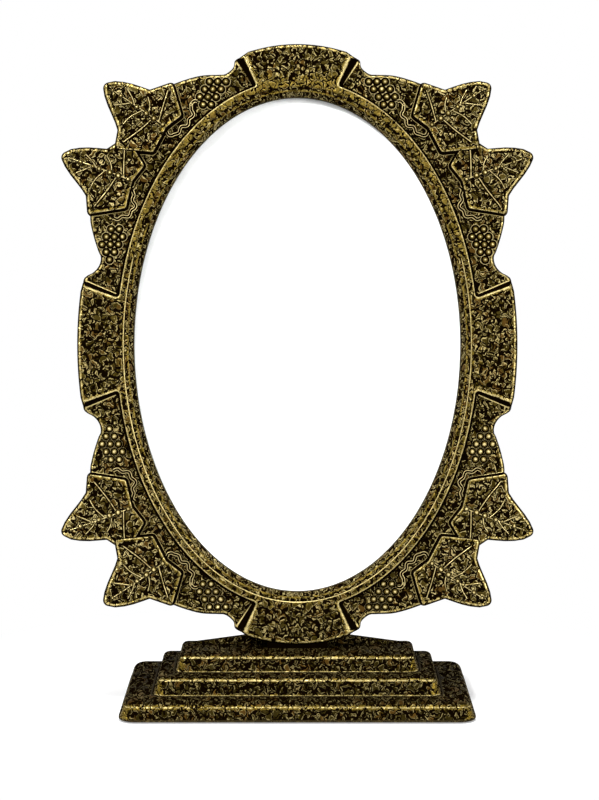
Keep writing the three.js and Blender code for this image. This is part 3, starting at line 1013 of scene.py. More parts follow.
@dataclass(frozen=True)
class FacePlane:
    """Flat place on each face by the way that the face looks, front faces first."""

    front_slope: float = 0.6

    def tree(self) -> bpy.types.NodeTree:
        """Builds the group.

        Returns:
            The group, with a place, a lean about x and a stretch of the depth as inputs and the flat place
            and the mask of the level faces out.
        """
        nodes, given = shader_group(
            "face_plane",
            (("Vector", "Place"), ("Float", "Lean"), ("Float", "Stretch")),
            (("Vector", "Flat"), ("Float", "Level")),
        )
        normal = nodes.add("ShaderNodeNewGeometry").outputs["True Normal"]
        place, way = (
            nodes.parts(nodes.add(
                "ShaderNodeVectorRotate",
                {"Vector": source, "Angle": given["Lean"]},
                rotation_type="X_AXIS",
            ).outputs[0])
            for source in (given["Place"], normal)
        )
        across, depth, up = (nodes.math("ABSOLUTE", part) for part in way)
        other = nodes.math("SUBTRACT", 1.0, nodes.math("GREATER_THAN", depth, self.front_slope))
        level = nodes.math("MULTIPLY", other, nodes.math("GREATER_THAN", up, across))
        side = nodes.math("SUBTRACT", other, level)
        drawn = nodes.math("DIVIDE", place[1], given["Stretch"])
        flat_x = nodes.add("ShaderNodeMix", {0: side, 2: place[0], 3: place[1]}).outputs[0]
        flat_y = nodes.add("ShaderNodeMix", {0: level, 2: place[2], 3: drawn}).outputs[0]
        nodes.add("NodeGroupOutput", {"Flat": nodes.combine(flat_x, flat_y, 0.0), "Level": level})
        return nodes.tree


@dataclass(frozen=True)
class RubbedEdgesAndPaintedLight:
    """Masks of the attribute's level with a ragged border: black, hammered veins, bare rubbed gold and
    glint, where the black also paints shade and the glint paints highlights. Pairs are the levels between
    which each mask turns.
    """

    ragged_scale: float = 1300.0
    black: Pair = (0.06, 0.24)
    islands: Pair = (0.3, 0.46)
    bare: Pair = (0.68, 0.98)
    glint: Pair = (1.08, 1.34)
    veins_end: Pair = (1.4, 1.54)

    def tree(self) -> bpy.types.NodeTree:
        """Builds the group.

        Returns:
            The group, with a place in metres, a wear and a raggedness as inputs and a mask for each state
            of the brass as outputs.
        """
        nodes, given = shader_group(
            "rubbed_edges",
            (("Vector", "Place"), ("Float", "Wear"), ("Float", "Ragged")),
            [("Float", label) for label in ("Black", "Islands", "Veined", "Bare", "Glint")],
        )
        noise = nodes.noise(given["Place"], self.ragged_scale, 2.0).outputs[0]
        ragged = nodes.math("MULTIPLY", nodes.math("SUBTRACT", noise, 0.5), given["Ragged"])
        worn_and_lit = nodes.math("ADD", given["Wear"], ragged)
        islands = nodes.ramp(given["Wear"], *self.islands)
        nodes.add("NodeGroupOutput", {
            "Black": nodes.ramp(given["Wear"], *self.black, 1, 0),
            "Islands": islands,
            "Veined": nodes.math("MULTIPLY", islands, nodes.ramp(worn_and_lit, *self.veins_end, 1, 0)),
            "Bare": nodes.ramp(worn_and_lit, *self.bare),
            "Glint": nodes.ramp(worn_and_lit, *self.glint),
        })
        return nodes.tree


@dataclass(frozen=True)
class FineGrain:
    """Coarse and fine noise for any finish, as the scale and the detail of each."""

    coarse: Pair = (0.2, 3.0)
    fine: Pair = (1.0, 4.0)

    def tree(self) -> bpy.types.NodeTree:
        """Builds the group.

        Returns:
            The group, with a place in metres, a grain size in millimetres and a stretch along x as inputs.
        """
        nodes, given = shader_group(
            "fine_grain",
            (("Vector", "Place"), ("Float", "Grain Size"), ("Float", "Stretch")),
            (("Float", "Coarse"), ("Float", "Fine")),
        )
        stretch = nodes.combine(nodes.math("DIVIDE", 1.0, given["Stretch"]), 1.0, 1.0)
        size = nodes.math("DIVIDE", 1 / MM, given["Grain Size"])
        place = nodes.scaled(nodes.vector("MULTIPLY", given["Place"], stretch), size)
        nodes.add("NodeGroupOutput", {
            "Coarse": nodes.noise(place, *self.coarse).outputs[0],
            "Fine": nodes.noise(place, *self.fine).outputs[0],
        })
        return nodes.tree


@dataclass(frozen=True)
class Finish:
    """What every finish has: a name, and a new material with its shader."""

    name: str

    def start(self, **shader: object) -> tuple[bpy.types.Material, Nodes, bpy.types.Node, object]:
        """New material.

        Args:
            shader: by socket name with spaces as underscores, plain values of the shader's own sockets.

        Returns:
            The material, its nodes, its shader and the place of each point.
        """
        material = bpy.data.materials.new(self.name)
        material.use_nodes = True
        tree = material.node_tree
        shader_node = tree.nodes["Principled BSDF"]
        for label, value in shader.items():
            shader_node.inputs[label.replace("_", " ")].default_value = value
        nodes = Nodes(tree)
        place = nodes.add("ShaderNodeTexCoord").outputs["Object"]
        return material, nodes, shader_node, place

    def bump(self, nodes: Nodes, height: object, strength: float, depth: float) -> bpy.types.NodeSocket:
        """Normal of a bump of a depth in millimetres."""
        feeds = {"Strength": strength, "Distance": depth * MM, "Height": height}
        return nodes.add("ShaderNodeBump", feeds).outputs["Normal"]


def opaque(colour: Colour) -> tuple[float, float, float, float]:
    """Colour with full alpha."""
    return (*colour, 1.0)


@dataclass(frozen=True)
class AntiqueBrass(Finish):
    """Brass that was blackened and rubbed back, with a hammered vein that thins where the gold shows; its
    colours also paint highlights on edges and rims and shade on walls and level faces.
    """

    plane: bpy.types.NodeTree
    hammered: bpy.types.NodeTree
    rubbed: bpy.types.NodeTree
    lean: float = LEAN
    stretch: float = 1.0
    cell: float = 2.3
    vein: float = 0.125
    worn_vein: float = 0.45
    worn_from: Pair = (0.6, 1.1)
    warp: float = 1.3
    ragged: float = 0.7
    # Painted shade: level faces are darkened by this share.
    level_shade: float = 0.0
    depth: float = 0.2
    metal: float = 0.2
    bare_metal: float = 0.6
    rough: Pair = (0.48, 0.34)
    relief_top: float = 1.1
    polish: float = 0.08
    # black is black patina and painted shade; rim paints highlights along the islands' edges; bare is
    # rubbed gold that also paints bright edge bands; glint paints the brightest highlights.
    black: Colour = (0.003, 0.0014, 0.0002)
    smooth: Colour = (0.036, 0.0265, 0.0105)
    dark_island: Colour = (0.025, 0.017, 0.0018)
    pale_island: Colour = (0.057, 0.0405, 0.0078)
    copper: Colour = (0.075, 0.04, 0.008)
    rim: Colour = (0.5, 0.4, 0.16)
    bare: Colour = (0.23, 0.16, 0.028)
    glint: Colour = (0.66, 0.53, 0.22)

    def make(self) -> bpy.types.Material:
        """Builds the material.

        Returns:
            The material.
        """
        material, nodes, shader, place = self.start(Specular_IOR_Level=0.0)
        worn_and_lit = nodes.add("ShaderNodeAttribute", attribute_name="wear").outputs["Fac"]
        plane = nodes.group(self.plane, {
            "Place": place, "Lean": math.radians(self.lean), "Stretch": self.stretch,
        })
        marks = nodes.group(self.hammered, {
            "Place": plane["Flat"],
            "Cell Size": self.cell,
            "Vein Width": nodes.ramp(worn_and_lit, *self.worn_from, self.vein, self.vein * self.worn_vein),
            "Warp": self.warp,
        })
        wear = nodes.group(self.rubbed, {"Place": place, "Wear": worn_and_lit, "Ragged": self.ragged})
        islands = nodes.blend(marks["Shade"], opaque(self.dark_island), opaque(self.pale_island))
        islands = nodes.blend(marks["Copper"], islands, opaque(self.copper))
        # Painted highlight along the islands' edges.
        islands = nodes.blend(marks["Rim"], islands, opaque(self.rim))
        body = nodes.blend(wear["Islands"], opaque(self.smooth), islands)
        body = nodes.blend(wear["Bare"], body, opaque(self.bare))
        body = nodes.blend(wear["Glint"], body, opaque(self.glint))
        veins = nodes.math("MULTIPLY", wear["Veined"], nodes.math("SUBTRACT", 1.0, marks["Island"]))
        # Painted shade on level faces.
        shade = nodes.math("MULTIPLY", plane["Level"], self.level_shade)
        dark = nodes.math("MAXIMUM", nodes.math("MAXIMUM", veins, wear["Black"]), shade)
        shine = nodes.math("MULTIPLY_ADD", wear["Bare"], self.bare_metal - self.metal, self.metal)
        rough = nodes.ramp(marks["Height"], 0.0, self.relief_top, *self.rough)
        height = nodes.math("MULTIPLY", marks["Height"], wear["Veined"])
        nodes.feed(shader, {
            "Base Color": nodes.blend(dark, body, opaque(self.black)),
            "Metallic": nodes.math("MULTIPLY", shine, nodes.math("SUBTRACT", 1.0, dark)),
            "Roughness": nodes.math("SUBTRACT", rough, nodes.math("MULTIPLY", wear["Bare"], self.polish)),
            "Normal": self.bump(nodes, height, 1.0, self.depth),
        })
        return material


@dataclass(frozen=True)
class GrainedFinish(Finish):
    """Finish of one material whose colour, roughness and surface vary with a fine grain."""

    grain: bpy.types.NodeTree
    dark: Colour
    pale: Colour
    grain_size: float
    stretch: float = 1.0
    metallic: float = 0.0
    rough: Pair = (0.5, 0.7)
    depth: float = 0.05
    relief: float = 0.6
    specular: float = 0.3
    sheen: float = 0.0
    tone_step: Pair = (0.75, 1.25)
    rough_step: Pair = (0.3, 0.7)

    def make(self) -> bpy.types.Material:
        """Builds the material.

        Returns:
            The material.
        """
        material, nodes, shader, place = self.start(
            Metallic=self.metallic, Specular_IOR_Level=self.specular, Sheen_Weight=self.sheen,
        )
        grain = nodes.group(self.grain, {
            "Place": place, "Grain Size": self.grain_size, "Stretch": self.stretch,
        })
        share = nodes.ramp(nodes.math("ADD", grain["Fine"], grain["Coarse"]), *self.tone_step)
        nodes.feed(shader, {
            "Base Color": nodes.blend(share, opaque(self.dark), opaque(self.pale)),
            "Roughness": nodes.ramp(grain["Coarse"], *self.rough_step, *self.rough),
            "Normal": self.bump(nodes, grain["Fine"], self.relief, self.depth),
        })
        return material


@dataclass(frozen=True)
class ClearGlass(Finish):
    """Clear polished glass that lets light through to the card."""

    tint: Colour = (0.985, 0.995, 0.99)
    ripple_scale: float = 60.0
    ripple_strength: float = 0.05
    ripple_depth: float = 0.02

    def make(self) -> bpy.types.Material:
        """Builds the material.

        Returns:
            The material.
        """
        material, nodes, shader, place = self.start(
            Base_Color=opaque(self.tint), Roughness=0.0, IOR=1.5, Transmission_Weight=1.0,
        )
        ripple = nodes.noise(place, self.ripple_scale, 1.0).outputs[0]
        nodes.feed(shader, {"Normal": self.bump(nodes, ripple, self.ripple_strength, self.ripple_depth)})
        shadow = nodes.add("ShaderNodeLightPath").outputs["Is Shadow Ray"]
        clear = nodes.add("ShaderNodeBsdfTransparent").outputs[0]
        mixed = nodes.add("ShaderNodeMixShader", {0: shadow, 1: shader.outputs[0], 2: clear}).outputs[0]
        nodes.feed(nodes.tree.nodes["Material Output"], {"Surface": mixed})
        return material


@dataclass
class Finishes:
    """Every material of the frame, made once."""

    rim_brass: bpy.types.Material = field(init=False)
    leaf_brass: bpy.types.Material = field(init=False)
    relief_brass: bpy.types.Material = field(init=False)
    base_brass: bpy.types.Material = field(init=False)
    glass: bpy.types.Material = field(init=False)
    card: bpy.types.Material = field(init=False)
    hardboard: bpy.types.Material = field(init=False)
    button_brass: bpy.types.Material = field(init=False)
    steel: bpy.types.Material = field(init=False)
    felt: bpy.types.Material = field(init=False)

    def __post_init__(self) -> None:
        """Builds the shared groups and the materials."""
        shared = (FacePlane().tree(), HammeredVein().tree(), RubbedEdgesAndPaintedLight().tree())
        grain = FineGrain().tree()
        self.rim_brass = AntiqueBrass("rim_antique_brass", *shared).make()
        self.leaf_brass = AntiqueBrass(
            "leaf_antique_brass", *shared, cell=2.45, vein=0.12,
            dark_island=(0.03, 0.02, 0.0025), pale_island=(0.08, 0.058, 0.013), rim=(0.58, 0.47, 0.2),
        ).make()
        self.relief_brass = AntiqueBrass(
            "relief_antique_brass", *shared, vein=0.002, metal=0.1, bare_metal=0.35, rough=(0.3, 0.26),
            smooth=(0.025, 0.017, 0.003), bare=(0.115, 0.08, 0.017), glint=(0.7, 0.57, 0.26),
        ).make()
        # level_shade paints shade on the base's treads and tops, and rim its painted highlights.
        self.base_brass = AntiqueBrass(
            "base_antique_brass", *shared, lean=0.0, stretch=2.4, cell=2.1, vein=0.13,
            dark_island=(0.015, 0.0101, 0.0011), pale_island=(0.033, 0.024, 0.005), rim=(0.25, 0.2, 0.08),
            bare=(0.165, 0.112, 0.017), level_shade=0.52,
        ).make()
        self.glass = ClearGlass("clear_glass").make()
        self.card = GrainedFinish(
            "blank_white_card", grain, (0.93, 0.93, 0.92), (0.96, 0.96, 0.955), 0.3,
            rough=(0.6, 0.8), depth=0.01, specular=0.2,
        ).make()
        self.hardboard = GrainedFinish(
            "brown_hardboard", grain, (0.075, 0.04, 0.02), (0.17, 0.1, 0.055), 0.7,
            stretch=2.5, rough=(0.5, 0.75), depth=0.06,
        ).make()
        self.button_brass = GrainedFinish(
            "stamped_brass", grain, (0.3, 0.2, 0.07), (0.55, 0.4, 0.16), 0.4,
            stretch=6.0, metallic=1.0, rough=(0.25, 0.45), depth=0.01,
        ).make()
        self.steel = GrainedFinish(
            "plated_steel", grain, (0.25, 0.22, 0.17), (0.5, 0.46, 0.38), 0.3,
            metallic=1.0, rough=(0.25, 0.5), depth=0.01,
        ).make()
        self.felt = GrainedFinish(
            "green_felt", grain, (0.006, 0.014, 0.008), (0.02, 0.04, 0.024), 0.25,
            rough=(0.9, 1.0), depth=0.15, specular=0.1, sheen=0.4,
        ).make()


# The rim


@dataclass
class SightMoulding:
    """Inner moulding of the rim: the lip and wall of the opening, the rebate and the rear collar."""

    rebate: float = 2.5
    shoulder: float = 2.3
    draft: float = 1.45
    lip_height: float = 6.12
    lip_width: float = 1.25
    core: float = 5.0
    collar_reach: float = 6.5
    chamfer: float = 0.35
    steps: int = 288

    def section(self) -> bpy.types.Mesh:
        """Closed section of the moulding, as points with their wear.

        Returns:
            The points in order round the section.
        """
        top, back, cut = self.lip_height, COLLAR_BACK, self.chamfer
        wall = (top - self.shoulder) / 8
        # The wall turns black towards its shoulder; the rubbed line on the lip is partly a painted
        # highlight.
        spots = [
            (self.rebate + cut, back, Wear.VEINED),
            (self.rebate, back + cut, Wear.VEINED),
            (self.rebate, self.shoulder, Wear.BLACKENED),
            (cut, self.shoulder, Wear.BLACKENED),
            (0.05, self.shoulder + 0.1, Wear.BLACKENED),
            (0.0, self.shoulder + cut, Wear.DUSKY),
            (self.draft * 0.3, self.shoulder + 3 * wall, Wear.VEINED),
            (self.draft * 0.85, top - 0.75, Wear.VEINED),
            (self.draft, top - 0.35, Wear.VEINED),
            (self.draft + 0.12, top - 0.15, Wear.RUBBED),
            (self.draft + 0.34, top - 0.02, Wear.RUBBED),
            (self.draft + 0.6, top, Wear.SCUFFED),
            (self.draft + self.lip_width, top, Wear.VEINED),
            (self.core, top, Wear.BLACKENED),
            (self.core, -COLLAR_BACK / 6, Wear.BLACKENED),
            (self.collar_reach, -COLLAR_BACK / 6, Wear.VEINED),
            (self.collar_reach, 0.02, Wear.VEINED),
            (self.collar_reach, back + cut, Wear.VEINED),
            (self.collar_reach - cut / 3, back + cut / 3, Wear.RUBBED),
            (self.collar_reach - cut, back, Wear.VEINED),
        ]
        points = [Vector((reach, height, 0)) for reach, height, _ in spots]
        return point_cloud("moulding_section", points, wear=[wear.value for _, _, wear in spots])

    def build(self, sweep: Recipe, material: bpy.types.Material) -> bpy.types.Mesh:
        """Sweeps the section round the oval.

        Args:
            sweep: tree that sweeps a section round the oval.
            material: the moulding's material.

        Returns:
            The finished moulding.
        """
        return sweep.run(self.section(), "rim_sight_moulding", rim_to_row(), {
            "Half Width": SIGHT_HALF_WIDTH, "Half Height": SIGHT_HALF_HEIGHT,
            "Steps": self.steps, "Material": material,
        })


def free_edge(rows: Sequence[Row], top: float) -> list[Row]:
    """Rows whose free levels round over the whole edge, with painted shade on the outer side and a painted
    highlight, partly rubbed gold, on the shoulder.

    Args:
        rows: levels where the wall stands on a plate, eleven of them.
        top: height of the plate's face.

    Returns:
        The same rows with free levels.
    """
    levels = (
        (1.0, None, Wear.VEINED),
        (1.0, 1.5, Wear.DUSKY),
        (0.95, 1.1, Wear.BLACKENED),
        (0.86, 0.8, Wear.BLACKENED),
        (0.74, 0.54, Wear.BLACKENED),
        (0.62, 0.35, Wear.DUSKY),
        (0.5, 0.19, Wear.RUBBED),
        (0.32, 0.07, Wear.BURNISHED),
        (0.12, 0.01, Wear.BURNISHED),
        (-0.06, 0.0, Wear.RUBBED),
        (-0.22, 0.0, Wear.VEINED),
    )
    made = []
    for row, (spread, drop, wear) in zip(rows, levels, strict=True):
        height = row.height if drop is None else top - drop
        made.append(Row(row.spread, row.height, row.wear, Row(spread, height, wear)))
    return made


@dataclass
class RimPlates:
    """Flat parts of the rim: the recessed fields, the ring with its four panels, bosses and lug."""

    cap_face: float = 14.8
    side_face: float = 15.9
    wall_spread: float = 1.1
    ring_face: float = 4.95
    ring_foot: float = 5.95
    face_inner: float = 3.0
    hidden_inner: float = 4.0
    plain_above: float = 26.0
    cap_corner: Triple = (75.9, 14.8, 77.4)
    side_corner: Triple = (10.9, 15.9, 9.7)
    cap_foot_corner: Triple = (72.9, 14.7, 75.7)
    side_foot_corner: Triple = (12.4, 16.5, 10.9)
    arc_ends: Pair = (10.1, 76.8)
    outer_rounding: float = 0.7
    inner_rounding: float = 1.3
    foot_rounding: float = 0.4
    foot_inner_rounding: float = 0.35
    arc_steps: tuple[int, int, int] = (14, 60, 18)
    root_gap: float = 2.5
    ring_margin: float = 0.4
    lip_margin: float = 0.5
    foot_depth: float = 1.0
    inner_steps: int = 288
    field_step: int = 6
    boss_radius: float = 3.7
    boss_edge: float = 0.35
    boss_steps: int = 40
    boss_reach: float = 6.4
    lug_half_width: float = 9.0
    lug_rounding: float = 0.6
    lug_bottom: float = -96.0
    lug_top: float = -80.0
    lug_back: float = 0.4
    lug_front: float = 5.6

    FIELD_EDGE = (
        (9.5, 16.6), (12.2, 16.8), (13.2, 16.0), (14.1, 14.4), (15.2, 13.3), (16.5, 12.8), (17.7, 13.1),
        (18.6, 14.2), (21.5, 17.1), (24.4, 19.4), (29.0, 20.6), (36.0, 20.6), (44.0, 20.6), (51.7, 21.6),
        (57.2, 19.2), (63.1, 16.4), (67.6, 13.6), (69.1, 12.8), (70.5, 12.8), (72.1, 13.5), (72.9, 15.0),
        (74.1, 15.4), (76.5, 15.6),
    )

    def ring_outline(self, foot: bool) -> list[Vector]:
        """Outline of the ring with its panels, at the face or at the foot.

        Args:
            foot: True for the foot, False for the face.

        Returns:
            The outline's points, as many for both.
        """
        out = self.wall_spread if foot else 0.0
        side, side_reach, side_root = self.side_foot_corner if foot else self.side_corner
        cap, cap_reach, cap_root = self.cap_foot_corner if foot else self.cap_corner
        ring = self.ring_foot if foot else self.ring_face
        convex = self.outer_rounding + (self.foot_rounding if foot else 0.0)
        concave = self.foot_inner_rounding if foot else self.inner_rounding
        side_end, cap_end = self.arc_ends
        side_steps, ring_steps, cap_steps = self.arc_steps
        return rounded(fourfold([
            *oval_arc(0, side_end, self.side_face + out, side_steps),
            oval_corner(side, side_reach, convex),
            oval_corner(side_root, ring, concave),
            *oval_arc(side_root + self.root_gap, cap_root - self.root_gap, ring, ring_steps),
            oval_corner(cap_root, ring, concave),
            oval_corner(cap, cap_reach, convex),
            *oval_arc(cap_end, 90, self.cap_face + out, cap_steps),
        ]))

    def ring_and_panels(self, shell: Shell) -> None:
        """Adds the raised ring and its four flush panels.

        Args:
            shell: shell that takes them.
        """
        top = RING_HEIGHT
        # Painted light on the wall and edge: the black wall is black patina and painted shade, the pale
        # line at its foot a painted highlight where a fillet would catch the light, and the bright line on
        # the edge a painted highlight, partly rubbed gold.
        rows = free_edge([
            Row(1.0, 0.0, Wear.VEINED),
            Row(1.0, FIELD_HEIGHT + 0.03, Wear.GLINT),
            Row(0.88, FIELD_HEIGHT + 0.09, Wear.GLINT),
            Row(0.82, FIELD_HEIGHT + 0.2, Wear.BLACKENED),
            Row(0.32, top - 0.7, Wear.BLACKENED),
            Row(0.24, top - 0.34, Wear.DUSKY),
            Row(0.17, top - 0.14, Wear.BURNISHED),
            Row(0.07, top - 0.02, Wear.GLINT),
            Row(-0.08, top, Wear.BURNISHED),
            Row(-0.22, top, Wear.RUBBED),
            Row(-0.38, top, Wear.VEINED),
        ], top)
        inner = self.face_inner
        # The pale line along the ring's inner edge is a painted highlight.
        hole = [
            (self.lifted(inner + 0.45, top), Wear.SCUFFED),
            (self.lifted(inner + 0.25, top), Wear.RUBBED),
            (self.lifted(inner + 0.1, top - 0.04), Wear.GLINT),
            (self.lifted(inner - 0.02, top - 0.14), Wear.GLINT),
            (self.lifted(inner - 0.05, top - 0.26), Wear.BLACKENED),
            (self.lifted(inner - 0.05, top - 0.7), Wear.BLACKENED),
            (self.lifted(self.hidden_inner, top - 1.5), Wear.BLACKENED),
            (self.lifted(self.hidden_inner, 0.0), Wear.VEINED),
        ]
        inner_field = self.field_outline(0.8)
        face, foot = self.ring_outline(foot=False), self.ring_outline(foot=True)
        shell.plate(face, foot, rows, hole, lambda point: inside(point, inner_field))
        low = top - self.foot_depth
        ring_edge, lip_edge = self.ring_foot + self.ring_margin, inner + self.lip_margin
        # Painted light by place: the pale foot line is turned black along the ring and kept at the panel
        # ends, the ring's face is given lighter gold, and above plain_above the inner painted highlight is
        # dimmed while the ring's face turns lighter still.
        for old, new, where in (
            (Wear.GLINT, Wear.BLACKENED, lambda p: p.z < low and within_oval(p, ring_edge)),
            (Wear.VEINED, Wear.SCUFFED, lambda p: p.z == top and within_oval(p, ring_edge)),
            (Wear.RUBBED, Wear.WORN, lambda p: p.y > self.plain_above and within_oval(p, lip_edge)),
            (Wear.GLINT, Wear.WORN, lambda p: p.y > self.plain_above and within_oval(p, lip_edge)),
            (Wear.SCUFFED, Wear.WORN, lambda p: p.y > self.plain_above),
        ):
            shell.change_wear_and_light(old, new, where)

    def lifted(self, reach: float, height: float) -> list[Vector]:
        """Oval at a reach and a height."""
        return raised(oval_loop(reach, self.inner_steps), height)

    def field_outline(self, inset: float) -> list[Vector]:
        """Outline of the recessed fields, moved inwards along the reach.

        Args:
            inset: distance that it is moved by.

        Returns:
            The outline's points.
        """
        spots = [oval_point(angle, reach - inset) for angle, reach in self.FIELD_EDGE]
        first = oval_point(0, self.FIELD_EDGE[0][1] - inset)
        last = oval_point(90, self.FIELD_EDGE[-1][1] - inset)
        curve = [first, *smooth_path(spots, self.field_step), last]
        return rounded(fourfold([Corner(point.x, point.y) for point in curve]))

    def fields(self, shell: Shell) -> None:
        """Adds the plate of the four recessed fields.

        Args:
            shell: shell that takes them.
        """
        top = FIELD_HEIGHT
        # The black outer wall is black patina and painted shade, and the bright line on the edge a painted
        # highlight, partly rubbed gold.
        rows = [
            Row(1.0, 0.04, Wear.VEINED),
            Row(1.0, top - 1.5, Wear.DUSKY),
            Row(0.95, top - 1.05, Wear.BLACKENED),
            Row(0.84, top - 0.74, Wear.BLACKENED),
            Row(0.72, top - 0.48, Wear.BLACKENED),
            Row(0.6, top - 0.3, Wear.DUSKY),
            Row(0.48, top - 0.16, Wear.RUBBED),
            Row(0.32, top - 0.05, Wear.BURNISHED),
            Row(0.12, top, Wear.BURNISHED),
            Row(-0.05, top, Wear.RUBBED),
            Row(-0.2, top, Wear.VEINED),
        ]
        hole = [
            (self.lifted(self.hidden_inner, top), Wear.VEINED),
            (self.lifted(self.hidden_inner, 0.04), Wear.VEINED),
        ]
        shell.plate(self.field_outline(self.wall_spread), self.field_outline(0.0), rows, hole)

    def bosses(self, shell: Shell, angles: Sequence[float]) -> None:
        """Adds the round bosses behind the rim that take the turn buttons' screws.

        Args:
            shell: shell that takes them.
            angles: angles of the turn buttons round the oval.
        """
        for angle in angles:
            centre = oval_point(angle, self.boss_reach)
            face = circle(centre, self.boss_radius - self.boss_edge, self.boss_steps)
            foot = circle(centre, self.boss_radius, self.boss_steps)
            shell.plate(face, foot, [
                Row(0.0, COLLAR_BACK - 0.02, Wear.VEINED),
                Row(0.7, COLLAR_BACK + 0.08, Wear.RUBBED),
                Row(1.0, COLLAR_BACK + 0.4, Wear.VEINED),
                Row(1.0, FIELD_HEIGHT / 2, Wear.VEINED),
            ])

    def lug(self, shell: Shell) -> None:
        """Adds the lug that goes down into the base.

        Args:
            shell: shell that takes it.
        """
        half, bottom, top = self.lug_half_width, self.lug_bottom, self.lug_top
        outline = rounded([
            Corner(across, up, self.lug_rounding)
            for across, up in ((-half, bottom), (half, bottom), (half, top), (-half, top))
        ])
        # Painted shade: the lug is black all over, as it sits in shadow under the rim.
        shell.plate(outline, outline, [
            Row(0, self.lug_back, Wear.BLACKENED), Row(0, self.lug_front, Wear.BLACKENED),
        ])

    def build(self, boss_angles: Sequence[float]) -> bpy.types.Mesh:
        """Builds the flat parts.

        Args:
            boss_angles: angles of the turn buttons round the oval.

        Returns:
            The finished mesh.
        """
        shell = Shell()
        self.fields(shell)
        self.ring_and_panels(shell)
        self.bosses(shell, boss_angles)
        self.lug(shell)
        return shell.mesh("rim_plates", rim_to_row())


@dataclass(frozen=True)
class LeafPlace:
    """Where a vine leaf's stem stands on the oval, the way its tip points and its face's height."""

    angle: float
    turn: float
    height: float

    def matrix(self, reach: float) -> Matrix:
        """From the leaf's frame to the rim's."""
        stem = oval_point(self.angle, reach)
        return Matrix.Translation(stem) @ Matrix.Rotation(math.radians(self.turn), 4, "Z")


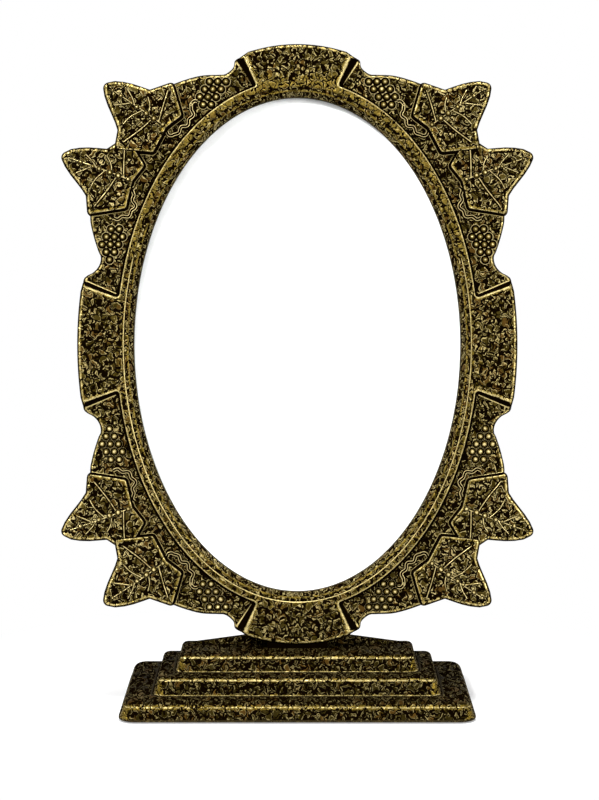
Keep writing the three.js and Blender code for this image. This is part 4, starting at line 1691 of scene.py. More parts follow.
@dataclass
class VineLeaves:
    """Eight leaves in four mirrored pairs, with veins and beads on their midribs."""

    stem_reach: float = 11.4
    length: float = 21.7
    wall_spread: float = 1.1
    back: float = 0.08
    back_step: float = 0.04
    midrib_steps: int = 8
    vein_half_width: float = 0.62
    vein_steps: int = 6
    vein_lift: float = 0.4
    vein_sink: float = 0.16
    bead_lift: float = 0.12
    bead_rim: Pair = (1.2, 0.02)
    places: tuple[LeafPlace, ...] = (
        LeafPlace(34.9, 20.0, 6.2),
        LeafPlace(49.4, 34.5, 7.0),
    )

    NEAR_SIDE = ((12.6, 4.85), (15.2, 4.1), (17.6, 3.15), (19.8, 1.95))
    FAR_SIDE = ((19.8, -1.95), (17.5, -3.65), (15.0, -5.2), (12.8, -6.6))
    MIDRIB = ((1.0, 0.0), (9.6, 0.15), (19.2, 0.0))
    VEINS = (
        ((2.6, 0.0), (4.2, 4.6), (5.6, 9.3)),
        ((6.4, 0.0), (7.6, 2.6), (9.4, 4.3)),
        ((11.2, 0.0), (13.2, 1.5), (15.6, 2.7)),
        ((4.6, 0.0), (5.9, -5.2), (7.9, -11.0)),
        ((8.6, 0.0), (10.4, -3.4), (11.0, -6.6)),
        ((12.6, 0.0), (14.8, -2.0), (16.4, -3.4)),
    )
    BEADS = ((1.1, 0.65), (4.3, 0.84), (7.0, 0.8), (10.4, 0.68), (12.4, 0.48), (16.3, 0.62), (19.3, 0.45))

    def corners(self) -> list[Corner]:
        """Outline of a leaf's face, anticlockwise, with its stem at the origin and its tip along x.

        Returns:
            The outline's corners.
        """
        return [
            Corner(0.2, 0.0, 2.2),
            Corner(-0.8, -8.2, 0.6),
            Corner(8.4, -13.3, 0.6),
            Corner(10.7, -8.2, 1.6),
            *[Corner(x, y) for x, y in reversed(self.FAR_SIDE)],
            Corner(self.length, 0.0, 0.8),
            *[Corner(x, y) for x, y in reversed(self.NEAR_SIDE)],
            Corner(9.8, 5.6, 1.6),
            Corner(5.6, 11.3, 0.6),
            Corner(-1.6, 5.4, 0.6),
        ]

    def blade(self, place: LeafPlace, back: float, ground: Sequence[Vector]) -> Shell:
        """One leaf's plate in its own frame.

        Args:
            place: where the leaf goes.
            back: height of its back.
            ground: outline of the plate that it stands on, in the rim's frame.

        Returns:
            The leaf's shell.
        """
        top = place.height
        # Painted light on the leaf's wall and edge: the black wall is black patina and painted shade, the
        # pale line at its foot a painted highlight, and the bright line on the edge a painted highlight,
        # partly rubbed gold.
        rows = free_edge([
            Row(1.0, back, Wear.VEINED),
            Row(1.0, FIELD_HEIGHT + 0.03, Wear.GLINT),
            Row(0.93, FIELD_HEIGHT + 0.08, Wear.GLINT),
            Row(0.88, FIELD_HEIGHT + 0.2, Wear.BLACKENED),
            Row(0.36, top - 0.62, Wear.BLACKENED),
            Row(0.28, top - 0.34, Wear.DUSKY),
            Row(0.2, top - 0.12, Wear.BURNISHED),
            Row(0.06, top - 0.01, Wear.BURNISHED),
            Row(-0.14, top, Wear.RUBBED),
            Row(-0.34, top - 0.04, Wear.RUBBED),
            Row(-0.52, top - 0.1, Wear.VEINED),
        ], top)
        matrix = place.matrix(self.stem_reach)
        shell = Shell()
        face = self.corners()
        shell.plate(
            rounded(face), rounded(grown(face, self.wall_spread)), rows,
            carried=lambda point: inside(matrix @ point, ground),
        )
        return shell

    def build_blades(self, field_edge: Sequence[Vector]) -> bpy.types.Mesh:
        """Builds the eight leaf plates on the fields.

        Args:
            field_edge: outline of the fields that they stand on.

        Returns:
            The finished mesh.
        """
        shell = Shell()
        for number, place in enumerate(self.places):
            blade = self.blade(place, self.back + self.back_step * number, field_edge)
            for mirror in quarter_mirrors():
                shell.place(blade, mirror @ place.matrix(self.stem_reach))
        return shell.mesh("vine_leaf_plates", rim_to_row())

    def vein_curves(self) -> bpy.types.Curve:
        """Curves of all midribs and side veins, in the rim's frame.

        Returns:
            The curves, in the rim's frame.
        """
        ridges = RidgeCurves("leaf_vein_curves")
        for place in self.places:
            lift = Matrix.Translation((0, 0, place.height - self.vein_sink))
            for mirror in quarter_mirrors():
                matrix = mirror @ lift @ place.matrix(self.stem_reach)
                for spots, steps in (
                    (self.MIDRIB, self.midrib_steps), *[(vein, self.vein_steps) for vein in self.VEINS],
                ):
                    path = smooth_path([Vector((x, y, 0)) for x, y in spots], steps)
                    ridges.add([matrix @ point for point in path])
        return ridges.data

    def bead_points(self, mirrors: Sequence[Matrix]) -> bpy.types.Mesh:
        """Points of the beads on the midribs of some quarters.

        Args:
            mirrors: matrices from the upper right quarter to those quarters.

        Returns:
            The points with each bead's radius.
        """
        points, radii = [], []
        for place in self.places:
            for mirror in mirrors:
                matrix = mirror @ place.matrix(self.stem_reach)
                for along, radius in self.BEADS:
                    points.append(matrix @ Vector((along, 0, place.height + self.bead_lift)))
                    radii.append(radius)
        return point_cloud("leaf_bead_points", points, radius=radii)


class RidgeCurves:
    """Curves that a ridge runs along."""

    def __init__(self, name: str) -> None:
        """Starts without any curve."""
        self.data = bpy.data.curves.new(name, "CURVE")
        self.data.dimensions = "3D"

    def add(self, points: Sequence[Vector]) -> None:
        """Adds a curve.

        Args:
            points: the curve's points.
        """
        spline = self.data.splines.new("POLY")
        spline.points.add(len(points) - 1)
        for number, point in enumerate(points):
            spline.points[number].co = (*point, 1.0)


@dataclass(frozen=True)
class HalfRelief:
    """Look of the beads in one half of the rim, in their own radii, with the light and shade painted for
    that half.

    Attributes:
        name: first word of the pieces' names.
        rim: reach and thickness of the rim of light round a grape.
        black_height: height up to which a bead is black.
        ball_wear_and_light: wear of a bead above that.
    """

    name: str
    rim: Pair
    black_height: float
    ball_wear_and_light: float


@dataclass
class GrapeRelief:
    """Grape clusters and the tendrils that lead to them, in the four fields."""

    grape_radius: float = 0.88
    pitch: float = 2.45
    row_pitch: float = 2.3
    sink: float = 0.02
    facets: int = 20
    # Lit and shaded copies of one look: the lower beads are painted lighter with less black, and the lower
    # grapes' painted rim of light is all but gone.
    halves: tuple[HalfRelief, HalfRelief] = (
        HalfRelief("upper", (1.58, 0.07), 0.42, Wear.RUBBED.value),
        HalfRelief("lower", (1.4, 0.02), 0.34, 1.09),
    )
    tendril_half_width: float = 0.8
    tendril_lift: float = 0.5
    tendril_steps: int = 10
    wave: float = 0.4
    wave_length: float = 3.4

    CAP_CLUSTER = (66.8, 11.6, ((3, 0.0), (3, 0.6), (3, 1.2), (2, 1.3)))
    SIDE_CLUSTER = (24.0, 10.8, ((2, 0.0), (3, 0.1), (3, 0.6), (2, 0.6), (1, 0.7)))
    CAP_TENDRIL = (
        (48.9, 10.4), (49.4, 8.1), (51.6, 7.9), (54.1, 7.4), (56.1, 8.0), (57.5, 9.5), (57.6, 11.2),
        (59.6, 10.3),
    )
    SIDE_TENDRIL = (
        (34.1, 9.9), (32.0, 9.3), (31.1, 8.0), (29.2, 7.6), (27.3, 9.1), (26.6, 10.6), (25.9, 12.2),
    )

    def grape_points(self, mirrors: Sequence[Matrix]) -> bpy.types.Mesh:
        """Centres of the grapes on the fields of some quarters.

        Args:
            mirrors: matrices from the upper right quarter to those quarters.

        Returns:
            The points with each grape's radius.
        """
        points = []
        for angle, reach, rows in (self.CAP_CLUSTER, self.SIDE_CLUSTER):
            start = oval_point(angle, reach)
            for row, (count, shift) in enumerate(rows):
                for bead in range(count):
                    across = (bead - (count - 1) / 2 + shift) * self.pitch
                    spot = start + Vector((across, -row * self.row_pitch, FIELD_HEIGHT - self.sink))
                    points.extend(mirror @ spot for mirror in mirrors)
        return point_cloud("grape_points", points, radius=[self.grape_radius] * len(points))

    def tendril_curves(self) -> bpy.types.Curve:
        """Curves of all tendrils, on the fields.

        Returns:
            The curves, in the rim's frame.
        """
        ridges = RidgeCurves("tendril_curves")
        for path in (self.CAP_TENDRIL, self.SIDE_TENDRIL):
            spots = raised([oval_point(angle, reach) for angle, reach in path], FIELD_HEIGHT)
            curve = self.waved(smooth_path(spots, self.tendril_steps))
            for mirror in quarter_mirrors():
                ridges.add([mirror @ point for point in curve])
        return ridges.data

    def waved(self, path: Sequence[Vector]) -> list[Vector]:
        """Path that sways evenly to both sides along its length.

        Args:
            path: the path's points.

        Returns:
            As many points, swayed.
        """
        along, swayed = 0.0, []
        for before, point, after in zip([path[0], *path], path, [*path[1:], path[-1]]):
            along += (point - before).length
            way = (after - before).normalized()
            sway = self.wave * math.sin(math.tau * along / self.wave_length)
            swayed.append(point + sway * Vector((-way.y, way.x, 0)))
        return swayed


class RidgeForm(Enum):
    """Half sections of the ridges, as share of the half width, share of the lift and level; a vein's pale
    crest and a tendril's pale lips are painted highlights, and the black beside them painted shade.
    """

    VEIN = (
        (0.0, 1.0, Wear.BURNISHED), (0.1, 0.95, Wear.BURNISHED), (0.22, 0.8, Wear.RUBBED),
        (0.34, 0.55, Wear.BLACKENED), (1.0, 0.08, Wear.BLACKENED), (1.05, -0.6, Wear.BLACKENED),
    )
    TENDRIL = (
        (0.0, 0.8, Wear.BLACKENED), (0.3, 0.8, Wear.BLACKENED), (0.4, 1.0, Wear.GLINT),
        (0.54, 0.95, Wear.GLINT), (0.66, 0.5, Wear.BLACKENED), (1.0, 0.1, Wear.BLACKENED),
        (1.04, -0.6, Wear.BLACKENED),
    )


def ridge_section(name: str, form: RidgeForm, half_width: float, lift: float) -> bpy.types.Mesh:
    """Closed section of a ridge.

    Args:
        name: name of the mesh.
        form: the ridge's half section.
        half_width: distance from the crest to the outer line.
        lift: height of the crest.

    Returns:
        A ring of edges, x across and y down, as a swept profile lies, with its wear.
    """
    half = form.value
    spots = [*half, *[(-x, y, wear) for x, y, wear in reversed(half[1:])]]
    made = bpy.data.meshes.new(name)
    points = [(x * half_width, -y * lift, 0) for x, y, _ in spots]
    made.from_pydata(points, [(i, (i + 1) % len(points)) for i in range(len(points))], [])
    carry(made, "wear", [wear.value for _, _, wear in spots])
    return made


# The base


@dataclass(frozen=True)
class Tier:
    """One step of the base, from its foot to its top."""

    half_width: float
    front: float
    back: float
    foot: float
    top: float
    draft: float
    edge: float
    corner: float
    least_corner: float = 0.9
    corner_steps: int = 8

    def ring(self, inset: float, height: float) -> list[Vector]:
        """Rounded rectangle that far inside the foot, at a height.

        Args:
            inset: distance inside the foot.
            height: height above the ground.

        Returns:
            The ring's points.
        """
        half, front, back = self.half_width - inset, self.front + inset, self.back - inset
        radius = max(self.corner - inset, self.least_corner)
        corners = [
            Corner(across, depth, radius)
            for across, depth in ((half, front), (half, back), (-half, back), (-half, front))
        ]
        return raised(rounded(corners, self.corner_steps), height)


@dataclass
class SteppedBase:
    """Three-step base casting with the low gabled rest behind the rim."""

    wall: float = 3.0
    felt_recess: float = 1.7
    felt_border: float = 3.0
    foot_inset: float = 0.5
    top_inset: float = 0.6
    front_share: float = 0.6
    corner_share: float = 0.5
    corner_foot: float = 0.4
    gable_half: float = 33.0
    gable_rise: float = 4.5
    gable_foot: float = 1.0
    gable_rounding: Pair = (0.8, 6.0)
    seat_gap: float = 0.3
    tiers: tuple[Tier, ...] = (
        Tier(51.7, -27.25, 27.25, 0.4, 5.7, 0.8, 2.6, 5.0),
        Tier(42.3, -17.95, 19.25, 5.7, 10.8, 1.2, 1.5, 3.6),
        Tier(36.1, -10.05, 12.25, 10.8, 15.6, 1.1, 1.5, 3.2),
    )

    # The pale lines at the feet are painted highlights, where the fillets would catch the light; the black
    # line under them is a dark joint.
    LOW_FOOT = ((0.12, 0.12, Wear.RUBBED), (0.0, 0.4, Wear.DUSKY), (0.02, 0.9, Wear.VEINED))
    FOOT = (
        (-0.9, 0.0, Wear.VEINED), (-0.02, 0.02, Wear.BLACKENED), (0.0, 0.1, Wear.BURNISHED),
        (0.17, 0.18, Wear.BURNISHED), (0.34, 0.5, Wear.VEINED),
    )
    # Levels round each rounded top edge, from the wall to the top: the bright band is a painted highlight
    # set where the lamps' reflection shows, partly rubbed gold.
    LOW_EDGE_WEAR_AND_HIGHLIGHT = (
        Wear.VEINED, Wear.VEINED, Wear.RUBBED, Wear.BURNISHED, Wear.WORN,
        Wear.VEINED, Wear.VEINED, Wear.VEINED, Wear.VEINED,
    )
    EDGE_WEAR_AND_HIGHLIGHT = (
        Wear.VEINED, Wear.SCUFFED, Wear.BURNISHED, Wear.BURNISHED, Wear.RUBBED,
        Wear.SCUFFED, Wear.VEINED, Wear.VEINED, Wear.VEINED,
    )

    def underside(self) -> list[tuple[list[Vector], Wear]]:
        """Rings of the underside, from the top of the hollow out to the foot.

        Returns:
            Points and wear of each ring.
        """
        low, middle, high = self.tiers
        return [
            (high.ring(high.draft + self.wall, high.top - self.wall), Wear.BLACKENED),
            (high.ring(high.draft + self.wall, middle.top - self.wall), Wear.BLACKENED),
            (middle.ring(middle.draft + self.wall, middle.top - self.wall), Wear.BLACKENED),
            (middle.ring(middle.draft + self.wall, self.felt_recess), Wear.BLACKENED),
            (low.ring(self.felt_border, self.felt_recess), Wear.BLACKENED),
            (low.ring(self.felt_border, low.foot), Wear.BLACKENED),
            (low.ring(self.foot_inset, low.foot), Wear.BLACKENED),
        ]

    def steps(self) -> list[tuple[list[Vector], Wear]]:
        """Rings of the three steps, from the foot to the top.

        Returns:
            Points and wear of each ring.
        """
        rings = []
        for number, tier in enumerate(self.tiers):
            foot = self.FOOT if number else self.LOW_FOOT
            rings += [(tier.ring(inset, tier.foot + lift), wear) for inset, lift, wear in foot]
            worn_and_lit = self.EDGE_WEAR_AND_HIGHLIGHT if number else self.LOW_EDGE_WEAR_AND_HIGHLIGHT
            for step, wear in enumerate(worn_and_lit):
                turn = math.radians(90 * step / (len(worn_and_lit) - 1))
                inset = tier.draft + tier.edge * (1 - math.cos(turn))
                height = tier.top - tier.edge + tier.edge * math.sin(turn)
                rings.append((tier.ring(inset, height), wear))
        high = self.tiers[-1]
        rings.append((high.ring(high.draft + high.edge + self.top_inset, high.top), Wear.VEINED))
        return rings

    def tier_at(self, height: float) -> Tier:
        """The tier that a height belongs to."""
        return next(tier for tier in self.tiers if height <= tier.top + TOUCHING)

    def off_front(self, point: Vector) -> bool:
        """Tells a point of the sides and the back from one of a tier's front."""
        tier = self.tier_at(point.z)
        return point.y > tier.front + self.front_share * tier.corner

    def on_front_corner(self, point: Vector) -> bool:
        """Tells a point of a tier's two front corners, between its foot and its rounded edge.

        Args:
            point: a point of the base.

        Returns:
            True on such a corner.
        """
        tier = self.tier_at(point.z)
        near = self.corner_share * tier.corner + tier.draft
        beside = tier.half_width - abs(point.x) < near and point.y - tier.front < near
        return beside and tier.foot + self.corner_foot < point.z < tier.top - tier.edge / 2

    def gable(self, shell: Shell) -> None:
        """Adds the gabled rest, whose front follows the rim's lean.

        Args:
            shell: shell that takes it.
        """
        high = self.tiers[-1]
        back = high.back - high.draft - high.edge
        half, top, low = self.gable_half, high.top, high.top - self.gable_foot
        eaves, ridge = self.gable_rounding
        corners = [
            Corner(half, low), Corner(half, top, eaves), Corner(0, top + self.gable_rise, ridge),
            Corner(-half, top, eaves), Corner(-half, low),
        ]
        slope = math.tan(math.radians(LEAN))
        start = SEAT_BACK + self.seat_gap

        def ring(inset: float, depth: float, lean: float) -> list[Vector]:
            """Section of the rest at a depth, following the rim's lean by a share."""
            flat = rounded(grown(corners, -inset))
            return [Vector((p.x, depth + lean * (p.y - SEAT_HEIGHT) * slope, p.y)) for p in flat]

        shell.loft([
            (ring(0.35, start, 1.0), Wear.VEINED),
            (ring(0.08, start + 0.15, 1.0), Wear.VEINED),
            (ring(0.0, start + 0.5, 1.0), Wear.VEINED),
            (ring(0.0, back - 1.3, 0.0), Wear.VEINED),
            (ring(0.1, back - 0.8, 0.0), Wear.VEINED),
            (ring(0.35, back - 0.25, 0.0), Wear.RUBBED),
            (ring(0.8, back, 0.0), Wear.VEINED),
        ])

    def build(self) -> bpy.types.Mesh:
        """Builds the base casting.

        Returns:
            The finished mesh.
        """
        shell = Shell()
        shell.loft([*self.underside(), *self.steps()])
        # Painted highlights: the bright edge bands are dulled off the fronts, and each front corner gets a
        # bright streak where it would catch the light.
        shell.change_wear_and_light(Wear.BURNISHED, Wear.SCUFFED, self.off_front)
        shell.change_wear_and_light(Wear.RUBBED, Wear.VEINED, self.off_front)
        shell.change_wear_and_light(Wear.VEINED, Wear.RUBBED, self.on_front_corner)
        self.gable(shell)
        return shell.mesh("stepped_base_casting", metres())


# What the rim holds


@dataclass(frozen=True)
class Pane:
    """Flat oval in the rebate, with the reach of its edge, its two faces' heights and its chamfer."""

    name: str
    reach: float
    front: float
    back: float
    chamfer: float
    steps: int = 180

    def build(self) -> bpy.types.Mesh:
        """Builds the pane between its two chamfered edges.

        Returns:
            The finished mesh.
        """
        shell = Shell()
        shell.loft([
            (raised(oval_loop(self.reach - inset, self.steps), height), Wear.VEINED)
            for inset, height in (
                (self.chamfer, self.back), (0.0, self.back + self.chamfer),
                (0.0, self.front - self.chamfer), (self.chamfer, self.front),
            )
        ])
        return shell.mesh(self.name, rim_to_row())


@dataclass
class TurnButtons:
    """Six stamped turn buttons and the slotted screws that they turn on."""

    angles: tuple[float, ...] = (0, 55, 125, 180, 235, 305)
    pivot_reach: float = 6.4
    hub_radius: float = 3.2
    tip_radius: float = 2.3
    reach: float = 9.0
    front: float = -3.3
    thickness: float = 1.2
    edge: float = 0.3
    tip_steps: int = 16
    hub_steps: int = 24
    screw_seat: float = -4.8
    screw_turn: float = 0.7
    screw_steps: int = 32
    head_radius: float = 2.5
    head_height: float = 1.5
    head_edge: float = 0.15
    slot_width: float = 0.8
    slot_depth: float = 0.7
    shank_radius: float = 1.25
    shank_end: float = 0.6

    def places(self) -> list[tuple[Vector, float]]:
        """Pivot of each button on the rim and the way that it points, inwards.

        Returns:
            Pivot and turn in radians of each button.
        """
        return [
            (oval_point(angle, self.pivot_reach), outward_turn(angle, self.pivot_reach) + math.pi)
            for angle in self.angles
        ]

    def button_outline(self) -> list[Corner]:
        """Outline of a button with its hub at the origin and its tip along x.

        Returns:
            The outline's corners.
        """
        spread = self.reach - self.tip_radius
        lean = math.acos((self.hub_radius - self.tip_radius) / spread)
        corners = []
        for centre, radius, start, end, steps in (
            (spread, self.tip_radius, -lean, lean, self.tip_steps),
            (0.0, self.hub_radius, lean, math.tau - lean, self.hub_steps),
        ):
            for step in range(steps + 1):
                turn = start + (end - start) * step / steps
                corners.append(Corner(centre + radius * math.cos(turn), radius * math.sin(turn)))
        return corners

    def button(self) -> Shell:
        """One button with a pressed rib along it, in its own frame.

        Returns:
            The button's shell.
        """
        back = self.front - self.thickness
        outline = self.button_outline()
        shell = Shell()
        shell.plate(rounded(grown(outline, -self.edge)), rounded(outline), [
            Row(0.0, back, Wear.VEINED),
            Row(0.6, back + 0.08, Wear.RUBBED),
            Row(1.0, back + self.edge, Wear.VEINED),
            Row(1.0, self.front - self.edge / 2, Wear.VEINED),
            Row(0.6, self.front, Wear.VEINED),
        ])
        return shell

    def screw_head(self) -> Shell:
        """Slotted head and shank of a screw, its seat at height zero and its head towards the back.

        Returns:
            The screw's shell.
        """
        shell = Shell()
        floor = -self.head_height + self.slot_depth
        shell.loft([
            (circle(Vector((0, 0, height)), radius, self.screw_steps), Wear.VEINED)
            for radius, height in (
                (self.head_radius, floor),
                (self.head_radius, -self.head_edge),
                (self.head_radius - self.head_edge, 0.0),
                (self.shank_radius, 0.0),
                (self.shank_radius, self.shank_end - self.screw_seat),
            )
        ])
        radius, half_steps = self.head_radius, self.screw_steps // 2
        start = math.asin(self.slot_width / 2 / radius)
        for side in (0, math.pi):
            turns = [
                side + start + (math.pi - 2 * start) * step / half_steps for step in range(half_steps + 1)
            ]
            corners = [Corner(radius * math.cos(turn), radius * math.sin(turn)) for turn in turns]
            shell.plate(rounded(grown(corners, -0.4)), rounded(corners), [
                Row(0.0, -self.head_height, Wear.VEINED),
                Row(0.55, -self.head_height + 0.1, Wear.RUBBED),
                Row(1.0, -self.head_height + 0.45, Wear.VEINED),
                Row(1.0, floor + 0.02, Wear.VEINED),
            ])
        return shell

    def build_buttons(self, material: bpy.types.Material) -> None:
        """Adds each button on its own body.

        Args:
            material: the buttons' material.
        """
        for number, (pivot, turn) in enumerate(self.places(), 1):
            shell = Shell()
            shell.place(self.button(), Matrix.Translation(pivot) @ Matrix.Rotation(turn, 4, "Z"))
            mesh = shell.mesh(f"stamped_turn_button_{number}", rim_to_row())
            add_piece(mesh, material, [f"turn_button_{number}"], f"button_{number}")

    def build_screws(self, copies: Recipe, material: bpy.types.Material) -> None:
        """Adds the six screws as one piece.

        Args:
            copies: tree that sets a shape on each point.
            material: the screws' material.
        """
        places = self.places()
        points = [pivot + Vector((0, 0, self.screw_seat)) for pivot, _ in places]
        turns = [turn + self.screw_turn * number for number, (_, turn) in enumerate(places)]
        cloud = point_cloud("screw_points", points, turn=turns)
        head = helper_object(self.screw_head().mesh("screw_head", Matrix.Identity(4)))
        values = {"Shape": head, "Material": material}
        mesh = copies.run(cloud, "turn_button_screw_set", rim_to_row(), values)
        bpy.data.objects.remove(head)
        nodes = [f"turn_button_screw_{number}" for number in range(1, len(places) + 1)]
        add_piece(mesh, material, nodes)


# The whole frame


@dataclass
class PhotoFrame:
    """Every piece of the frame, with its finishes and node trees."""

    finishes: Finishes = field(default_factory=Finishes)
    sweep: Recipe = field(default_factory=sweep_recipe)
    ridge: Recipe = field(default_factory=ridge_recipe)
    beads: Recipe = field(default_factory=bead_recipe)
    copies: Recipe = field(default_factory=copies_recipe)
    buttons: TurnButtons = field(default_factory=TurnButtons)
    plates: RimPlates = field(default_factory=RimPlates)
    leaves: VineLeaves = field(default_factory=VineLeaves)
    grapes: GrapeRelief = field(default_factory=GrapeRelief)

    def build_rim(self) -> None:
        """Adds the pieces of the rim casting."""
        brass, leaf, relief = self.finishes.rim_brass, self.finishes.leaf_brass, self.finishes.relief_brass
        for made, material in (
            (SightMoulding().build(self.sweep, brass), brass),
            (self.plates.build(self.buttons.angles), brass),
            (self.leaves.build_blades(self.plates.field_outline(0.4)), leaf),
            *[(mesh, relief) for mesh in self.relief_meshes(relief)],
        ):
            add_piece(made, material, ["rim_casting"])

    def relief_meshes(self, brass: bpy.types.Material) -> list[bpy.types.Mesh]:
        """Veins, tendrils, midrib beads and grapes, made by the node trees.

        Args:
            brass: the relief's material.

        Returns:
            The finished meshes.
        """
        made = []
        leaves, grapes = self.leaves, self.grapes
        for curves, name, form, half_width, lift in (
            (leaves.vein_curves(), "leaf_veins", RidgeForm.VEIN, leaves.vein_half_width, leaves.vein_lift),
            (grapes.tendril_curves(), "vine_tendrils", RidgeForm.TENDRIL, grapes.tendril_half_width,
             grapes.tendril_lift),
        ):
            section = helper_object(ridge_section(name + "_section", form, half_width, lift))
            values = {"Section": section, "Material": brass}
            made.append(self.ridge.run(curves, name, rim_to_row(), values, RELIEF_SHARP_ANGLE))
            bpy.data.objects.remove(section)
        mirrors = quarter_mirrors()
        for half, sides in zip(grapes.halves, (mirrors[:2], mirrors[2:])):
            for points, name, (reach, thickness) in (
                (leaves.bead_points(sides), "midrib_beads", leaves.bead_rim),
                (grapes.grape_points(sides), "grape_clusters", half.rim),
            ):
                made.append(self.beads.run(points, f"{half.name}_{name}", rim_to_row(), {
                    "Facets": grapes.facets,
                    "Rim Reach": reach,
                    "Rim Thickness": thickness,
                    "Black Height": half.black_height,
                    "Ball Wear": half.ball_wear_and_light,
                    "Material": brass,
                }, RELIEF_SHARP_ANGLE))
        return made

    def build_base(self) -> None:
        """Adds the base casting and dresses the felt and the rim's screws, which stay as they are."""
        add_piece(SteppedBase().build(), self.finishes.base_brass, ["base_casting"])
        self.dress("felt_pad", self.finishes.felt)
        for side in ("left", "right"):
            self.dress(f"rim_screw_{side}", self.finishes.steel)
            self.dress(f"rim_screw_washer_{side}", self.finishes.steel)

    def dress(self, node: str, material: bpy.types.Material) -> None:
        """Gives a CAD node its finish.

        Args:
            node: name of the node.
            material: its finish.
        """
        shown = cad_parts[node]
        for slot in shown.material_slots:
            slot.material = material
        LOG.info("%s: kept from the CAD model with %s", node, material.name)

    def build_contents(self) -> None:
        """Adds the glass, the card, the backing board, the turn buttons and their screws."""
        finishes = self.finishes
        for pane, material, slot, node in (
            (Pane("glass_oval", 2.2, 2.0, 0.0, 0.3), finishes.glass, "clear_glass", "glass_pane"),
            (Pane("blank_card_oval", 1.9, -0.3, -0.8, 0.05), finishes.card, "white_card", "photo_card"),
            (
                Pane("hardboard_oval", 2.2, -1.1, -3.0, 0.25), finishes.hardboard, "brown_hardboard",
                "backing_board",
            ),
        ):
            add_piece(pane.build(), material, [node])
        self.buttons.build_buttons(finishes.button_brass)
        self.buttons.build_screws(self.copies, finishes.steel)


# Floor, light and camera


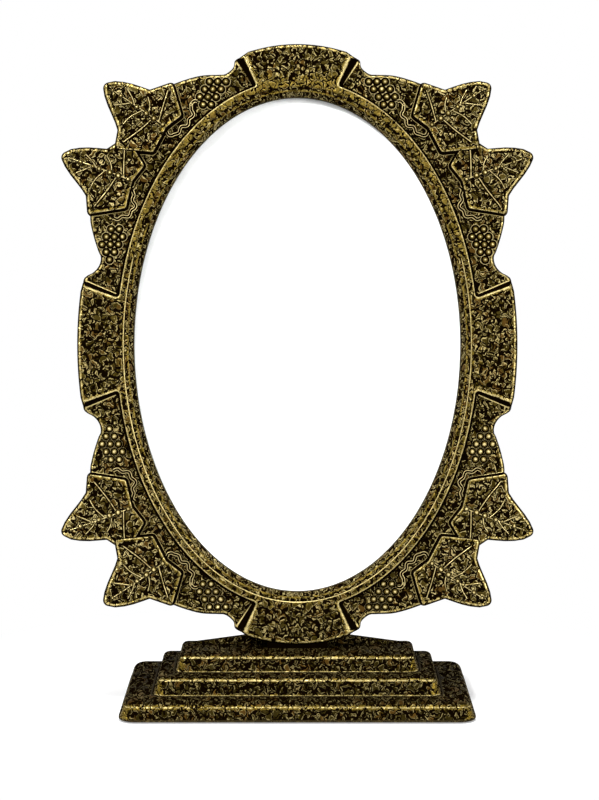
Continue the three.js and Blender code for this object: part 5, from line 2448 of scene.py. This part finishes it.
@dataclass
class Studio:
    """Pale floor, soft light and the photograph's camera."""

    floor_half: float = 3.0
    floor_grey: float = 0.82
    floor_rough: float = 0.9
    floor_glow: float = 0.28
    floor_fade: Pair = (0.06, 0.13)
    backdrop: Colour = (1.0, 1.0, 1.0)
    room_strength: float = 0.38
    camera_place: Triple = (0.65, -609.0, 163.6)
    camera_pitch: float = 6.85
    lens: float = 93.6
    target: Triple = (0.0, 0.0, 100.0)

    LAMPS = (
        ("key_softbox", (-380.0, -620.0, 620.0), (180.0, 140.0), 5.5),
        ("fill_softbox", (560.0, -520.0, 320.0), (160.0, 240.0), 2.1),
        ("top_softbox", (30.0, 20.0, 820.0), (360.0, 90.0), 5.0),
    )

    def floor(self) -> None:
        """Adds the floor."""
        half = self.floor_half
        mesh = bpy.data.meshes.new("studio_floor")
        corners = [(-half, -half, 0), (half, -half, 0), (half, half, 0), (-half, half, 0)]
        mesh.from_pydata(corners, [], [(0, 1, 2, 3)])
        material = bpy.data.materials.new("pale_floor")
        material.use_nodes = True
        nodes = Nodes(material.node_tree)
        shader = material.node_tree.nodes["Principled BSDF"]
        nodes.feed(shader, {
            "Base Color": opaque((self.floor_grey,) * 3),
            "Roughness": self.floor_rough,
            "Specular IOR Level": 0.0,
        })
        glow, white = (self.pale(nodes, "ShaderNodeEmission", power) for power in (self.floor_glow, 1.0))
        lifted = nodes.add("ShaderNodeAddShader", {0: shader.outputs[0], 1: glow}).outputs[0]
        place = nodes.add("ShaderNodeTexCoord").outputs["Object"]
        away = nodes.add("ShaderNodeVectorMath", {0: place}, operation="LENGTH").outputs["Value"]
        far = nodes.ramp(away, *self.floor_fade)
        lifted = nodes.add("ShaderNodeMixShader", {0: far, 1: lifted, 2: white}).outputs[0]
        self.show_to_viewer(nodes, shader.outputs[0], lifted, "Material Output")
        mesh.materials.append(material)
        floor = bpy.data.objects.new("studio_floor", mesh)
        bpy.context.scene.collection.objects.link(floor)

    def pale(self, nodes: Nodes, kind: str, strength: float) -> bpy.types.NodeSocket:
        """Shader of the backdrop's colour at a strength."""
        return nodes.add(kind, {"Color": opaque(self.backdrop), "Strength": strength}).outputs[0]

    def show_to_viewer(self, nodes: Nodes, other: object, seen: object, output: str) -> None:
        """Gives one shader to the rays that see the backdrop and another to the rest.

        Args:
            nodes: tree of the backdrop.
            other: shader for the rays that only light the object.
            seen: shader for the rays from the camera, from a gloss or through glass.
            output: name of the tree's output node.
        """
        path = nodes.add("ShaderNodeLightPath").outputs
        gloss = nodes.math("MAXIMUM", path["Is Glossy Ray"], path["Is Transmission Ray"])
        looks = nodes.math("MAXIMUM", path["Is Camera Ray"], gloss)
        mixed = nodes.add("ShaderNodeMixShader", {0: looks, 1: other, 2: seen}).outputs[0]
        nodes.feed(nodes.tree.nodes[output], {"Surface": mixed})

    def room(self) -> None:
        """Makes the world white to the rays that see it and a soft fill to the others."""
        world = bpy.data.worlds.new("studio_room")
        bpy.context.scene.world = world
        world.use_nodes = True
        nodes = Nodes(world.node_tree)
        kind = "ShaderNodeBackground"
        soft, white = (self.pale(nodes, kind, power) for power in (self.room_strength, 1.0))
        self.show_to_viewer(nodes, soft, white, "World Output")

    def lamps(self) -> None:
        """Adds the softboxes."""
        for name, place, size, power in self.LAMPS:
            light = bpy.data.lights.new(name, "AREA")
            light.shape = "RECTANGLE"
            light.size, light.size_y = (side * MM for side in size)
            light.energy = power
            lamp = bpy.data.objects.new(name, light)
            lamp.location = Vector(place) * MM
            lamp.rotation_euler = (Vector(self.target) - Vector(place)).to_track_quat("-Z", "Y").to_euler()
            bpy.context.scene.collection.objects.link(lamp)

    def camera(self) -> None:
        """Adds the camera at the photograph's angle."""
        data = bpy.data.cameras.new("photo_camera")
        data.sensor_width = 36.0
        data.lens = self.lens
        data.clip_start = 0.01
        data.clip_end = 20.0
        camera = bpy.data.objects.new("photo_camera", data)
        camera.location = Vector(self.camera_place) * MM
        camera.rotation_euler = (math.radians(90 - self.camera_pitch), 0, 0)
        bpy.context.scene.collection.objects.link(camera)
        bpy.context.scene.camera = camera

    def build(self) -> None:
        """Sets up the whole studio."""
        self.floor()
        self.room()
        self.lamps()
        self.camera()
        bpy.context.scene.view_settings.view_transform = "Standard"


def main() -> None:
    """Builds the frame and its studio."""
    logging.basicConfig(level=logging.INFO, format="%(message)s")
    photo_frame = PhotoFrame()
    photo_frame.build_rim()
    photo_frame.build_base()
    photo_frame.build_contents()
    Studio().build()


if __name__ == "__main__":
    main()
